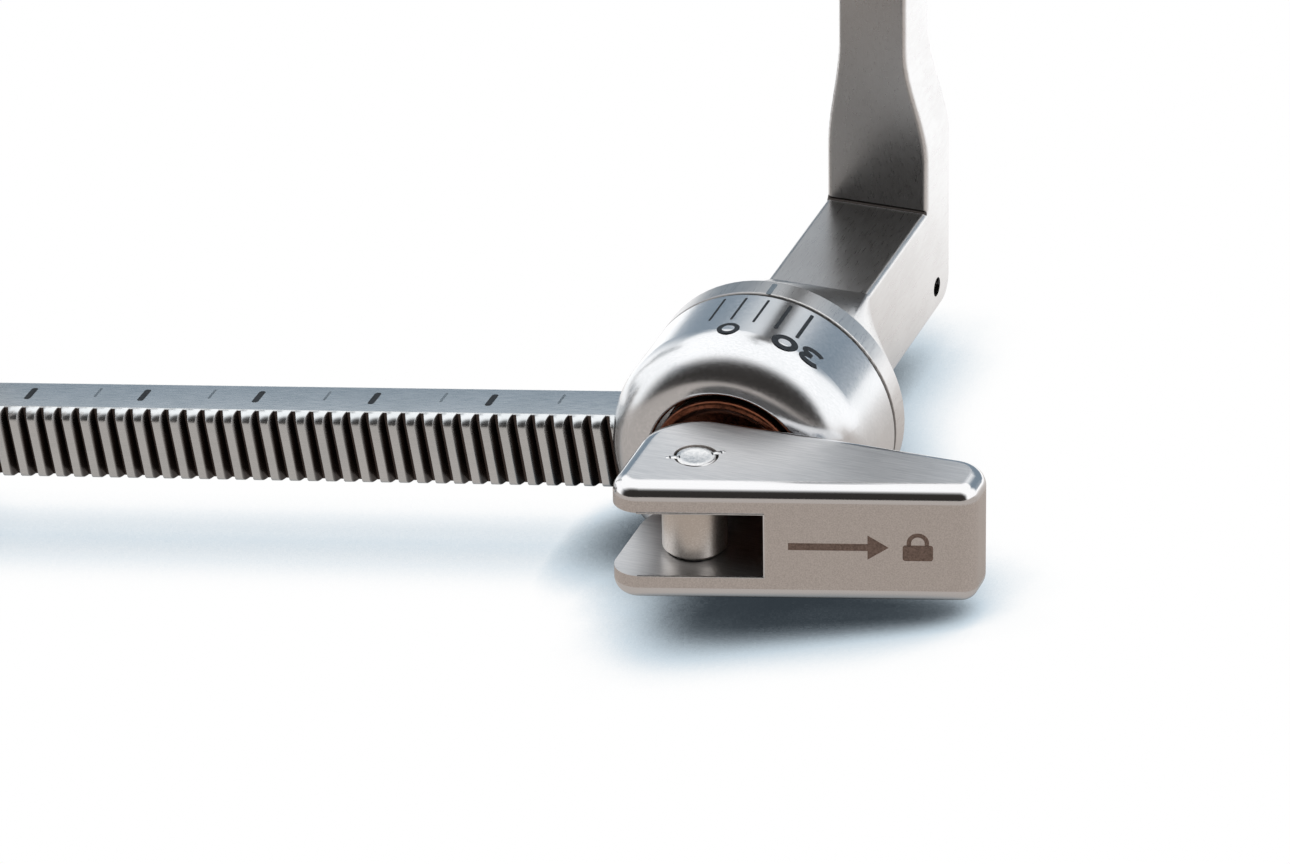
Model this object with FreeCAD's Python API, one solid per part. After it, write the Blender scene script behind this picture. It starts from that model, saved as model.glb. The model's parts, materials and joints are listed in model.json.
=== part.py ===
import FreeCAD, Part
import math
import os

os.makedirs("parts", exist_ok=True)

# A self retaining retractor for surgery, in millimetres, +Z up.
# While it is built, the fixed hub's axis is the line X = 0, Z = 0, and +X runs along the rack.
# At the end the whole model is moved so that its origin is the bottom centre of its box.

# rack
rack_height = 6.0
rack_depth = 5.2
rack_module = 0.5
rack_pitch = math.pi * rack_module
rack_addendum = 0.35
rack_dedendum = 0.55
rack_tip_share = 0.40
rack_edge_bevel = 0.3
rack_left_end = -140.0
rack_first_gap = -10.57
rack_plain_end = 6.0
pressure_angle = 20.0

# hubs
hub_radius = 10.4
hub_front = -2.3
hub_back = 7.3
hub_lip = 3.6
hub_bore = 4.0
counterbore_radius = 6.4
counterbore_floor = 0.9
hub_socket_depth = 2.6
joint_seam = 0.1

# tilt stop
stop_pin_radius = 0.8
stop_circle = 7.5
stop_groove_depth = 1.6
tilt_low = -10.0
tilt_high = 30.0
tilt_rest = 9.0

# clamp stack inside each hub
washer_thickness = 1.0
washer_bore = 2.6
washer_rim_gap = 0.25
disc_thickness = 0.3
disc_cone = 0.3
disc_outer = 5.6
disc_inner = 2.5
pad_gap = 0.3
pad_front = -2.62
pad_dish = 0.6
pad_rim = 0.55

# draw bolt
bolt_radius = 1.9
bolt_end = 10.2
eye_radius = 2.5
eye_forward = 0.5
eye_height = 5.3

# cam lever, measured from its pin
lever_pin_y = -9.2
lever_pin_radius = 1.62
lever_thickness = 10.0
lever_back = 6.5
lever_left = 5.15
lever_length = 21.7
lever_front_y = 2.35
lever_front_x = 9.19
lever_front_slope = 0.305
lever_cam_radius = 5.0
lever_left_radius = 2.0
lever_tip_front_radius = 1.4
lever_tip_back_radius = 2.6
lever_slot_height = 5.5
lever_slot_end = 6.5
lever_edge = 1.25

# tilt arms
knuckle_thickness = 2.2
taper_length = 9.9
bar_half_width = 4.25
bar_half_height = 5.05
bar_edge = 0.45
riser_front = 33.9
riser_depth = 5.9
elbow_radius = 2.0
inner_elbow_radius = 0.3
waist_half_width = 2.85
waist_offset = -0.45
foot_share = 0.12
waist_low_share = 0.38
waist_high_share = 0.70
head_half_width = 4.6
head_depth = 11.0
head_height = 10.0
head_flare = 9.0
head_bottom = 42.0
cross_hole_radius = 0.8
cross_hole_back = 3.4
cross_hole_up = 2.2

# blades
dovetail_mouth = 5.0
dovetail_base = 7.0
dovetail_depth = 2.2
dovetail_stop = 1.0
blade_thickness = 1.4
blade_length = 46.0
blade_foot_width = 20.0
blade_tip_width = 16.0
blade_lip_radius = 9.0
blade_lip_angle = 38.0
blade_tail = 1.0
blade_corner = 4.0
blade_foot_corner = 2.0
blade_shoulder_radius = 12.0
blade_shoulder_rise = 6.0
blade_screw_radius = 1.2
blade_knob_radius = 2.6
blade_knob_length = 3.0
blade_knob_flutes = 12

# carriage
carriage_x = -86.0
carriage_axis_z = 10.6
carriage_half_length = 10.9
carriage_half_height = 5.2
gearbox_length = 23.6
gearbox_front = -9.8
gearbox_back = 8.9
gearbox_wall = 2.0
gearbox_corner = 2.0
edge_break = 0.4
cover_thickness = 1.4
cover_inset = 1.0
cover_corner = 1.2
floor_thickness = 2.0
cover_screw_radius = 0.55
cover_screw_head = 0.95
cover_screw_head_height = 0.8
cover_screw_length = 3.6
cover_screw_inset = 1.6

# pinion and turn key
pinion_teeth = 16
pinion_addendum = 0.35
pinion_dedendum = 0.55
pinion_backlash = 0.10
pinion_half_height = 2.8
pinion_from_block = 6.1
shaft_radius = 1.5
bush_wall = 0.75
bush_flange = 0.6
bush_flange_height = 0.3
key_height = 4.9
key_half_length = 10.4
key_boss_radius = 3.1
key_wing_thickness = 2.4
key_wing_waist = 2.6
key_pin_radius = 0.6

# ratchet pawl
pawl_reach = 6.5
pawl_pivot_y = -2.0
pawl_pin_radius = 1.0
pawl_boss = 1.65
pawl_nose_depth = 0.55
pawl_nose_half = 0.14
pawl_nose_slope = 15.0
pawl_swing = 9.5
pawl_tail_x = 7.4
pawl_tail_y = 2.2
pawl_tail_width = 1.6
pawl_tail_height = 3.0
pawl_knob_radius = 1.6
spring_thickness = 0.25

# rack end stop
end_stop_thickness = 2.5
end_stop_overhang = 1.5
end_screw_radius = 0.8
end_screw_head = 1.7

# clearances
running_gap = 0.05
fixed_gap = 0.03
side_gap = 0.1
sliding_gap = 0.06
rack_gap = 0.08

AXIS_X = FreeCAD.Vector(1, 0, 0)
AXIS_Y = FreeCAD.Vector(0, 1, 0)
AXIS_Z = FreeCAD.Vector(0, 0, 1)
ORIGIN = FreeCAD.Vector(0, 0, 0)

pitch_radius = pinion_teeth * rack_pitch / (2 * math.pi)
knuckle_front = hub_back + joint_seam
knuckle_back = knuckle_front + knuckle_thickness
bar_start = knuckle_back + taper_length
riser_back = riser_front + riser_depth
head_middle = riser_front + riser_depth / 2
pad_radius = counterbore_radius - pad_gap


def vec(x, y, z):
    return FreeCAD.Vector(x, y, z)


def rounded_wire(corners):
    """Closed wire through (point, radius) corners, each rounded by its own tangent arc."""
    count = len(corners)
    stations = []
    for i in range(count):
        point, radius = corners[i]
        to_before = (corners[i - 1][0] - point).normalize()
        to_after = (corners[(i + 1) % count][0] - point).normalize()
        half_angle = to_before.getAngle(to_after) / 2
        inward = (to_before + to_after).normalize()
        reach = radius / math.tan(half_angle)
        start = point + to_before * reach
        end = point + to_after * reach
        middle = point + inward * (radius / math.sin(half_angle) - radius)
        stations.append((start, middle, end, radius))
    edges = []
    for i in range(count):
        start, middle, end, radius = stations[i]
        if radius > 0:
            edges.append(Part.Arc(start, middle, end).toShape())
        following = stations[(i + 1) % count][0]
        if end.distanceToPoint(following) > 1e-6:
            edges.append(Part.makeLine(end, following))
    return Part.Wire(edges)


def plate_xy(corners, bottom, top):
    """Rounded outline of (x, y, radius) corners, raised from bottom to top along Z."""
    wire = rounded_wire([(vec(x, y, bottom), r) for x, y, r in corners])
    return Part.Face(wire).extrude(vec(0, 0, top - bottom))


def plate_yz(corners, left, right):
    """Rounded outline of (y, z, radius) corners, extended from left to right along X."""
    wire = rounded_wire([(vec(left, y, z), r) for y, z, r in corners])
    return Part.Face(wire).extrude(vec(right - left, 0, 0))


def plate_xz(corners, front, back):
    """Rounded outline of (x, z, radius) corners, extended from front to back along Y."""
    wire = rounded_wire([(vec(x, front, z), r) for x, z, r in corners])
    return Part.Face(wire).extrude(vec(0, back - front, 0))


def turned_y(corners):
    """Rounded outline of (radius, y, rounding) corners, turned about the Y axis."""
    wire = rounded_wire([(vec(x, y, 0), r) for x, y, r in corners])
    return Part.Face(wire).revolve(ORIGIN, AXIS_Y, 360)


def box(x0, x1, y0, y1, z0, z1):
    return Part.makeBox(x1 - x0, y1 - y0, z1 - z0, vec(x0, y0, z0))


def rod(radius, start, end):
    along = end - start
    return Part.makeCylinder(radius, along.Length, start, along)


def eased_rod(radius, start, end, bevel):
    """Round rod whose two rims have a small bevel."""
    solid = rod(radius, start, end)
    rims = [edge for edge in solid.Edges if isinstance(edge.Curve, Part.Circle)]
    return solid.makeChamfer(bevel, rims)


def mirrored(shape):
    return shape.mirror(ORIGIN, AXIS_X)


def gap_x(index):
    """X of the rack's tooth gap number index, counted from the fixed hub."""
    return rack_first_gap - index * rack_pitch


def nearest_gap(x):
    return gap_x(round((rack_first_gap - x) / rack_pitch))


def rack_bar():
    """Rack: a toothed outline carried through its height, with bevelled long edges."""
    slope = math.tan(math.radians(pressure_angle))
    depth = rack_addendum + rack_dedendum
    mouth = rack_pitch * (1 - rack_tip_share)
    root = mouth - 2 * depth * slope
    right_end = hub_socket_depth - hub_radius
    points = [vec(rack_left_end, rack_depth, 0), vec(right_end, rack_depth, 0), vec(right_end, 0, 0)]
    count = int((rack_first_gap - rack_left_end - rack_plain_end) / rack_pitch) + 1
    for i in range(count):
        x = gap_x(i)
        points.append(vec(x + mouth / 2, 0, 0))
        points.append(vec(x + root / 2, depth, 0))
        points.append(vec(x - root / 2, depth, 0))
        points.append(vec(x - mouth / 2, 0, 0))
    points.append(vec(rack_left_end, 0, 0))
    points.append(points[0])
    half = rack_height / 2
    toothed = Part.Face(Part.makePolygon(points)).extrude(vec(0, 0, rack_height))
    toothed.translate(vec(0, 0, -half))
    bevel = rack_edge_bevel
    section = [
        (bevel, -half, 0), (rack_depth - bevel, -half, 0), (rack_depth, bevel - half, 0),
        (rack_depth, half - bevel, 0), (rack_depth - bevel, half, 0), (bevel, half, 0),
        (0, half - bevel, 0), (0, bevel - half, 0),
    ]
    bar = toothed.common(plate_yz(section, rack_left_end, right_end))
    thread = rod(end_screw_radius + fixed_gap, end_screw_point(0), end_screw_point(7))
    return bar.cut(thread)


def end_screw_point(along):
    """Point on the axis of the end stop's screw, along mm inside the rack's left end."""
    return vec(rack_left_end + along, rack_depth / 2, 0)


def rack_end_stop():
    """Plate at the rack's open end that keeps the carriage on."""
    over = end_stop_overhang
    half = rack_height / 2 + over
    outline = [(-over, -half, 1.5), (rack_depth + over, -half, 1.5),
               (rack_depth + over, half, 1.5), (-over, half, 1.5)]
    plate = plate_yz(outline, rack_left_end - end_stop_thickness, rack_left_end)
    outer = [e for e in plate.Edges if e.BoundBox.XMax < rack_left_end - end_stop_thickness + 0.01]
    plate = plate.makeFillet(edge_break, outer)
    return plate.cut(rod(end_screw_radius + fixed_gap, end_screw_point(-end_stop_thickness - 1),
                         end_screw_point(0)))


def end_stop_screw():
    """Round headed screw with a hexagon socket."""
    face = -end_stop_thickness
    head = eased_rod(end_screw_head, end_screw_point(face - 1.3), end_screw_point(face), 0.3)
    shank = rod(end_screw_radius, end_screw_point(face), end_screw_point(6.5))
    corners = []
    for i in range(6):
        a = math.radians(60 * i)
        corners.append((rack_depth / 2 + 0.8 * math.cos(a), 0.8 * math.sin(a), 0))
    x = rack_left_end + face
    socket = plate_yz(corners, x - 1.4, x - 0.5)
    return head.fuse(shank).cut(socket).removeSplitter()


def hub_body():
    """Hub drum with a rolled front lip, a counterbore for the clamp stack and a through bore."""
    lip = min(hub_lip, hub_radius - counterbore_radius - 0.4)
    return turned_y([
        (counterbore_radius, hub_front, 0.35), (hub_radius, hub_front, lip),
        (hub_radius, hub_back, 0.2), (hub_bore, hub_back, 0.15),
        (hub_bore, counterbore_floor, 0), (counterbore_radius, counterbore_floor, 0),
    ])


def stop_groove(sense):
    """Curved groove in the hub's back face, in which the arm's stop pin travels."""
    half_width = stop_pin_radius + running_gap
    spare = math.degrees(running_gap / stop_circle)
    ring = turned_y([
        (stop_circle - half_width, hub_back - stop_groove_depth, 0),
        (stop_circle + half_width, hub_back - stop_groove_depth, 0),
        (stop_circle + half_width, hub_back + 1, 0), (stop_circle - half_width, hub_back + 1, 0),
    ])
    low = math.radians(min(sense * tilt_low, sense * tilt_high) - spare)
    high = math.radians(max(sense * tilt_low, sense * tilt_high) + spare)
    far = 3 * stop_circle
    middle = (low + high) / 2
    wedge_points = [vec(0, 0, 0)]
    for a in (low, middle, high):
        wedge_points.append(vec(-far * math.sin(a), 0, -far * math.cos(a)))
    wedge_points.append(wedge_points[0])
    wedge = Part.Face(Part.makePolygon(wedge_points)).extrude(vec(0, hub_back + 2, 0))
    groove = ring.common(wedge)
    for a in (low, high):
        x = -stop_circle * math.sin(a)
        z = -stop_circle * math.cos(a)
        end = rod(half_width, vec(x, hub_back - stop_groove_depth, z), vec(x, hub_back + 1, z))
        groove = groove.fuse(end)
    return groove


def fixed_hub():
    half = rack_height / 2 + fixed_gap
    socket = box(-hub_radius - 1, hub_socket_depth - hub_radius, -fixed_gap,
                 rack_depth + fixed_gap, -half, half)
    return hub_body().cut(stop_groove(1)).cut(socket)


def thrust_washer():
    """Flat bearing ring on the floor of the counterbore."""
    outer = counterbore_radius - washer_rim_gap
    front = counterbore_floor - washer_thickness
    return turned_y([(washer_bore, front, 0.1), (outer, front, 0.1),
                     (outer, counterbore_floor, 0.1), (washer_bore, counterbore_floor, 0.1)])


def disc_springs():
    """Two coned spring discs, set rim to rim."""
    start = counterbore_floor - washer_thickness
    height = disc_thickness + disc_cone
    near = turned_y([
        (disc_inner, start, 0), (disc_inner, start - disc_thickness, 0),
        (disc_outer, start - height, 0), (disc_outer, start - disc_cone, 0),
    ])
    far = turned_y([
        (disc_outer, start - height, 0), (disc_outer, start - height - disc_thickness, 0),
        (disc_inner, start - 2 * height, 0), (disc_inner, start - height - disc_cone, 0),
    ])
    return Part.makeCompound([near, far])


def pressure_pad():
    """Dished cup between the spring discs and the cam."""
    back = counterbore_floor - washer_thickness - 2 * (disc_thickness + disc_cone)
    hole = bolt_radius + 0.3
    return turned_y([
        (hole, back, 0), (pad_radius, back, 0.15), (pad_radius, pad_front, 0.25),
        (pad_radius - pad_rim, pad_front, 0.15),
        (pad_radius - pad_rim - 0.5, pad_front + pad_dish, 0.6), (hole, pad_front + pad_dish + 0.25, 0.1),
    ])


def draw_bolt():
    """Bolt screwed into the arm, with an upright round eye for the lever's pin."""
    half = eye_height / 2
    eye_y = lever_pin_y - eye_forward
    eye = eased_rod(eye_radius, vec(0, eye_y, -half), vec(0, eye_y, half), 0.35)
    shank = rod(bolt_radius, vec(0, lever_pin_y, 0), vec(0, bolt_end, 0))
    hole = rod(lever_pin_radius + running_gap, vec(0, lever_pin_y, -half), vec(0, lever_pin_y, half))
    return eye.fuse(shank).removeSplitter().cut(hole)


def cam_lever():
    """Forked lever whose rounded corner is an eccentric cam about its pin."""
    y = lever_pin_y
    tip = lever_length
    front_tip = y - lever_front_y + lever_front_slope * (tip - lever_front_x)
    front_left = y - lever_front_y - lever_front_slope * (lever_left + lever_front_x)
    half = lever_thickness / 2
    outline = [
        (-lever_left, y + lever_back, lever_cam_radius), (-lever_left, front_left, lever_left_radius),
        (tip, front_tip, lever_tip_front_radius), (tip, y + lever_back, lever_tip_back_radius),
    ]
    body = plate_xy(outline, -half, half)
    rims = [e for e in body.Edges if e.BoundBox.ZMax - e.BoundBox.ZMin < 0.01]
    body = body.makeFillet(min(lever_edge, half / 2), rims)
    slot_half = lever_slot_height / 2
    far = 2 * lever_length
    slot = plate_xz([(-far, -slot_half, 0), (lever_slot_end, -slot_half, 0.3),
                     (lever_slot_end, slot_half, 0.3), (-far, slot_half, 0)], -far, far)
    hole = rod(lever_pin_radius + side_gap, vec(0, y, -half), vec(0, y, half))
    return body.cut(slot).cut(hole)


def lever_pin():
    half = lever_thickness / 2
    return eased_rod(lever_pin_radius, vec(0, lever_pin_y, -half), vec(0, lever_pin_y, half), 0.12)


def stop_pin():
    """Pin in the knuckle that runs in the hub's groove."""
    front = hub_back - stop_groove_depth + 2 * side_gap
    return eased_rod(stop_pin_radius, vec(0, front, -stop_circle),
                     vec(0, knuckle_back - 0.6, -stop_circle), 0.12)


def matched_ring(half_width, half_height, corner, y):
    """Rounded rectangle and the hub's circle, each as eight edges that face each other."""
    corners = [(half_width, half_height), (-half_width, half_height),
               (-half_width, -half_height), (half_width, -half_height)]
    rectangle = rounded_wire([(vec(x, y, z), corner) for x, z in corners])
    circle_edges = []
    for edge in rectangle.OrderedEdges:
        ends = [edge.valueAt(edge.FirstParameter), edge.valueAt(edge.LastParameter)]
        if edge.Orientation == "Reversed":
            ends.reverse()
        angles = [math.atan2(p.z, p.x) for p in ends]
        if angles[1] - angles[0] > math.pi:
            angles[1] -= 2 * math.pi
        if angles[0] - angles[1] > math.pi:
            angles[1] += 2 * math.pi
        points = []
        for a in (angles[0], sum(angles) / 2, angles[1]):
            points.append(vec(hub_radius * math.cos(a), knuckle_back, hub_radius * math.sin(a)))
        circle_edges.append(Part.Arc(points[0], points[1], points[2]).toShape())
    return rectangle, Part.Wire(circle_edges)


def side_outline(bottom_of_head):
    """The arm's limb seen from the side: bar, elbow, riser and flared head."""
    top = bottom_of_head + head_height
    flare_start = bottom_of_head - head_flare
    front = head_middle - head_depth / 2
    back = head_middle + head_depth / 2
    return [
        (bar_start, -bar_half_height, 0), (riser_back, -bar_half_height, elbow_radius),
        (riser_back, flare_start, 6.0), (back, bottom_of_head, 6.0), (back, top, 0.8),
        (front, top, 0.8), (front, bottom_of_head, 6.0), (riser_front, flare_start, 6.0),
        (riser_front, bar_half_height, inner_elbow_radius), (bar_start, bar_half_height, 0),
    ]


def swept_side(half_low, z_low, half_high, z_high):
    """Smooth curve, upright at both ends, from one half width to another."""
    third = (z_high - z_low) / 3
    curve = Part.BezierCurve()
    curve.setPoles([vec(half_low, 0, z_low), vec(half_low, 0, z_low + third),
                    vec(half_high, 0, z_high - third), vec(half_high, 0, z_high)])
    return curve.toShape()


def front_outline(bottom_of_head):
    """The arm's limb seen from the front: straight foot, narrow waist and wider head."""
    low = -bar_half_height
    rise = bottom_of_head - bar_half_height
    foot_top = bar_half_height + foot_share * rise
    waist_low = bar_half_height + waist_low_share * rise
    waist_high = bar_half_height + waist_high_share * rise
    top = bottom_of_head + head_height
    sides = []
    for side in (1, -1):
        foot = side * bar_half_width
        waist = side * waist_half_width + waist_offset
        head = side * head_half_width
        sides += [
            Part.makeLine(vec(foot, 0, low), vec(foot, 0, foot_top)),
            swept_side(foot, foot_top, waist, waist_low),
            Part.makeLine(vec(waist, 0, waist_low), vec(waist, 0, waist_high)),
            swept_side(waist, waist_high, head, bottom_of_head),
            Part.makeLine(vec(head, 0, bottom_of_head), vec(head, 0, top)),
        ]
    sole = Part.makeLine(vec(-bar_half_width, 0, low), vec(bar_half_width, 0, low))
    cap = Part.makeLine(vec(-head_half_width, 0, top), vec(head_half_width, 0, top))
    return Part.Wire(Part.__sortEdges__(sides + [sole, cap]))


def dovetail(extra, bottom, top):
    """Dovetail prism on the inboard side, grown by extra on its faces."""
    mouth = dovetail_mouth / 2 + extra
    base = dovetail_base / 2 + extra
    inboard = -head_half_width
    points = [
        vec(inboard - extra, head_middle - mouth, bottom), vec(inboard - extra, head_middle + mouth, bottom),
        vec(inboard + dovetail_depth + extra, head_middle + base, bottom),
        vec(inboard + dovetail_depth + extra, head_middle - base, bottom),
    ]
    points.append(points[0])
    return Part.Face(Part.makePolygon(points)).extrude(vec(0, 0, top - bottom))


def tilt_arm(bottom_of_head):
    """Arm: spigot and knuckle in the hub joint, tapering to a bar that turns up into the riser."""
    top = bottom_of_head + head_height
    limb = plate_yz(side_outline(bottom_of_head), -2 * hub_radius, 2 * hub_radius)
    front_plate = Part.Face(front_outline(bottom_of_head)).extrude(vec(0, 4 * riser_back, 0))
    limb = limb.common(front_plate)
    long_edges = []
    for edge in limb.Edges:
        b = edge.BoundBox
        crossing = b.XMax > 0.5 and b.XMin < -0.5
        at_start = b.YMax < bar_start + 0.01
        if not crossing and not at_start:
            long_edges.append(edge)
    limb = limb.makeFillet(bar_edge, long_edges)
    rectangle, circle = matched_ring(bar_half_width, bar_half_height, bar_edge, bar_start)
    taper = Part.makeLoft([circle, rectangle], True, True)
    knuckle = turned_y([(0, knuckle_front, 0), (hub_radius, knuckle_front, 0.25),
                        (hub_radius, knuckle_back, 0), (0, knuckle_back, 0)])
    spigot_end = counterbore_floor + 2 * side_gap
    spigot = rod(hub_bore - running_gap, vec(0, spigot_end, 0), vec(0, knuckle_front, 0))
    arm = limb.fuse([taper, knuckle, spigot]).removeSplitter()
    thread = rod(bolt_radius + fixed_gap, vec(0, 0, 0), vec(0, bolt_end + 0.3, 0))
    stop_hole = rod(stop_pin_radius + fixed_gap, vec(0, knuckle_front - 1, -stop_circle),
                    vec(0, knuckle_back - 0.55, -stop_circle))
    cross_y = riser_back - cross_hole_back
    cross_z = cross_hole_up - bar_half_height
    cross_hole = rod(cross_hole_radius, vec(-3 * bar_half_width, cross_y, cross_z),
                     vec(3 * bar_half_width, cross_y, cross_z))
    slot = dovetail(sliding_gap, bottom_of_head + dovetail_stop, top + 1)
    screw_z = bottom_of_head + head_height / 2
    screw_hole = rod(blade_screw_radius + fixed_gap, vec(dovetail_depth - head_half_width, head_middle, screw_z),
                     vec(head_half_width + 1, head_middle, screw_z))
    return arm.cut([thread, stop_hole, cross_hole, slot, screw_hole])


def blade(bottom_of_head):
    """Retracting blade: tapered plate with a curved lip, and a dovetail foot."""
    top = bottom_of_head + head_height
    outer = -head_half_width - sliding_gap
    inner = outer - blade_thickness
    foot = bottom_of_head - blade_tail
    bend = top + blade_length - blade_lip_radius
    half_angle = math.radians(blade_lip_angle / 2)
    angle = 2 * half_angle
    centre_x = outer + blade_lip_radius
    small = blade_lip_radius
    large = blade_lip_radius + blade_thickness

    def on_arc(radius, a):
        return vec(centre_x - radius * math.cos(a), 0, bend + radius * math.sin(a))

    edges = [
        Part.makeLine(vec(outer, 0, foot), vec(outer, 0, bend)),
        Part.Arc(on_arc(small, 0), on_arc(small, half_angle), on_arc(small, angle)).toShape(),
        Part.makeLine(on_arc(small, angle), on_arc(large, angle)),
        Part.Arc(on_arc(large, angle), on_arc(large, half_angle), on_arc(large, 0)).toShape(),
        Part.makeLine(vec(inner, 0, bend), vec(inner, 0, foot)),
        Part.makeLine(vec(inner, 0, foot), vec(outer, 0, foot)),
    ]
    section = Part.Face(Part.Wire(edges)).extrude(vec(0, 4 * riser_back, 0))
    tip = bend + large * math.sin(angle)
    foot_half = blade_foot_width / 2
    tip_half = blade_tip_width / 2
    shoulder = top + blade_shoulder_rise
    outline = plate_yz([
        (head_middle - foot_half, foot, blade_foot_corner), (head_middle + foot_half, foot, blade_foot_corner),
        (head_middle + foot_half, shoulder, blade_shoulder_radius),
        (head_middle + tip_half, tip, blade_corner), (head_middle - tip_half, tip, blade_corner),
        (head_middle - foot_half, shoulder, blade_shoulder_radius),
    ], inner - large, outer + large)
    plate = section.common(outline)
    tongue = dovetail(0, bottom_of_head + dovetail_stop + sliding_gap, top - 0.2)
    join = box(inner + blade_thickness / 2, 0.01 - head_half_width, head_middle - dovetail_mouth / 2,
               head_middle + dovetail_mouth / 2, bottom_of_head + dovetail_stop + sliding_gap, top - 0.2)
    return plate.fuse([tongue, join]).removeSplitter()


def blade_screw(bottom_of_head):
    """Fluted screw that clamps the blade's dovetail foot."""
    z = bottom_of_head + head_height / 2
    start = dovetail_depth - head_half_width + sliding_gap + running_gap
    seat = head_half_width + side_gap
    knob = eased_rod(blade_knob_radius, vec(seat, head_middle, z),
                     vec(seat + blade_knob_length, head_middle, z), 0.4)
    flutes = []
    for i in range(blade_knob_flutes):
        a = 2 * math.pi * i / blade_knob_flutes
        y = head_middle + (blade_knob_radius + 0.15) * math.cos(a)
        w = z + (blade_knob_radius + 0.15) * math.sin(a)
        flutes.append(rod(0.4, vec(seat - 1, y, w), vec(seat + blade_knob_length + 1, y, w)))
    shank = rod(blade_screw_radius, vec(start, head_middle, z), vec(seat + 0.5, head_middle, z))
    return knob.cut(flutes).fuse(shank).removeSplitter()


gearbox_right = carriage_x - carriage_half_length + 0.5
gearbox_left = gearbox_right - gearbox_length
pinion_x = carriage_x - carriage_half_length - pinion_from_block
pinion_y = rack_addendum - pitch_radius
pinion_outer = pitch_radius + pinion_addendum
floor_z = floor_thickness - carriage_half_height
cover_z = carriage_half_height - cover_thickness
nose_x = nearest_gap(pinion_x - pinion_outer - 2.0)
pawl_x = nose_x - pawl_reach
pocket_left = gearbox_left + gearbox_wall


def gearbox_outline(inset, corner):
    left = gearbox_left + inset
    right = gearbox_right - inset
    front = gearbox_front + inset
    back = gearbox_back - inset
    return [(left, front, corner), (right, front, corner), (right, back, corner), (left, back, corner)]


def cover_screw_places():
    """Centres of the four cover screws, inside the cover's corners."""
    edge = cover_inset + cover_screw_inset
    places = []
    for x in (gearbox_left + edge, gearbox_right - edge):
        for y in (gearbox_front + edge, gearbox_back - edge + 0.3):
            places.append((x, y))
    return places


def eased_block(corners, bottom, top, radius):
    """Rounded block whose top and bottom rims are eased."""
    solid = plate_xy(corners, bottom, top)
    rims = [e for e in solid.Edges if e.BoundBox.ZMax - e.BoundBox.ZMin < 0.01]
    return solid.makeFillet(radius, rims)


def carriage_body():
    """Sliding carriage: hub drum on a block that runs on the rack, with the gearbox beside it."""
    half = carriage_half_length
    high = carriage_half_height
    block = eased_block([
        (carriage_x - half, hub_front, 0.8), (carriage_x + half, hub_front, 0.8),
        (carriage_x + half, hub_back, 0.8), (carriage_x - half, hub_back, 0.8),
    ], -high, high, edge_break)
    drum = hub_body()
    drum.translate(vec(carriage_x, 0, carriage_axis_z))
    gearbox = eased_block(gearbox_outline(0, gearbox_corner), -high, high, edge_break)
    body = drum.fuse([block, gearbox]).removeSplitter()
    bore = rod(hub_bore, vec(0, counterbore_floor - 0.5, 0), vec(0, hub_back + 1, 0))
    sink = rod(counterbore_radius, vec(0, hub_front - 1, 0), vec(0, counterbore_floor, 0))
    groove = stop_groove(-1)
    for cutter in (bore, sink, groove):
        cutter.translate(vec(carriage_x, 0, carriage_axis_z))
    channel_half = rack_height / 2 + rack_gap
    channel = box(gearbox_left - 1, carriage_x + half + 1, -rack_gap, rack_depth + rack_gap,
                  -channel_half, channel_half)
    cover_seat = plate_xy(gearbox_outline(cover_inset, cover_corner), cover_z, high + 1)
    pinion_pocket = rod(pinion_outer + 0.35, vec(pinion_x, pinion_y, floor_z), vec(pinion_x, pinion_y, high))
    front = pinion_y - pinion_outer + 1.6
    pawl_pocket = plate_xy([
        (pocket_left, front, 1.0), (pinion_x - 2, front, 0),
        (pinion_x - 2, pawl_nose_depth + 0.4, 0), (pocket_left, pawl_nose_depth + 0.4, 0),
    ], floor_z, high)
    window_half = pawl_tail_height / 2 + 0.3
    window = box(gearbox_left - 1, pocket_left + 1, pawl_pivot_y - 3.0, pawl_pivot_y + 1.3,
                 -window_half, window_half)
    bush_hole = rod(shaft_radius + running_gap + bush_wall + fixed_gap,
                    vec(pinion_x, pinion_y, -high - 1), vec(pinion_x, pinion_y, floor_z))
    pivot_hole = rod(pawl_pin_radius + fixed_gap, vec(pawl_x, pawl_pivot_y, floor_z - 1.4),
                     vec(pawl_x, pawl_pivot_y, floor_z))
    cutters = [bore, sink, groove, channel, cover_seat, pinion_pocket, pawl_pocket, window,
               bush_hole, pivot_hole]
    for x, y in cover_screw_places():
        bottom = carriage_half_height - cover_screw_length - 0.2
        cutters.append(rod(cover_screw_radius + fixed_gap, vec(x, y, bottom), vec(x, y, cover_z)))
    return body.cut(cutters)


def gearbox_cover():
    """Plate let into the gearbox's top, with sunk seats for its screws."""
    plate = plate_xy(gearbox_outline(cover_inset + sliding_gap, cover_corner), cover_z, carriage_half_height)
    cutters = [rod(shaft_radius + running_gap + bush_wall + fixed_gap, vec(pinion_x, pinion_y, cover_z),
                   vec(pinion_x, pinion_y, carriage_half_height))]
    seat = carriage_half_height - cover_screw_head_height
    for x, y in cover_screw_places():
        cutters.append(rod(cover_screw_radius + fixed_gap, vec(x, y, cover_z), vec(x, y, carriage_half_height)))
        cutters.append(rod(cover_screw_head + fixed_gap, vec(x, y, seat), vec(x, y, carriage_half_height)))
    return plate.cut(cutters)


def cover_screws():
    """Four small slotted screws with flat heads."""
    screws = []
    top = carriage_half_height
    for x, y in cover_screw_places():
        head = eased_rod(cover_screw_head, vec(x, y, top - cover_screw_head_height), vec(x, y, top), 0.12)
        shank = rod(cover_screw_radius, vec(x, y, top - cover_screw_length), vec(x, y, top - 0.4))
        slot = box(x - 1.2, x + 1.2, y - 0.15, y + 0.15, top - 0.35, top + 1)
        screws.append(head.fuse(shank).removeSplitter().cut(slot))
    return Part.makeCompound(screws)


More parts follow.
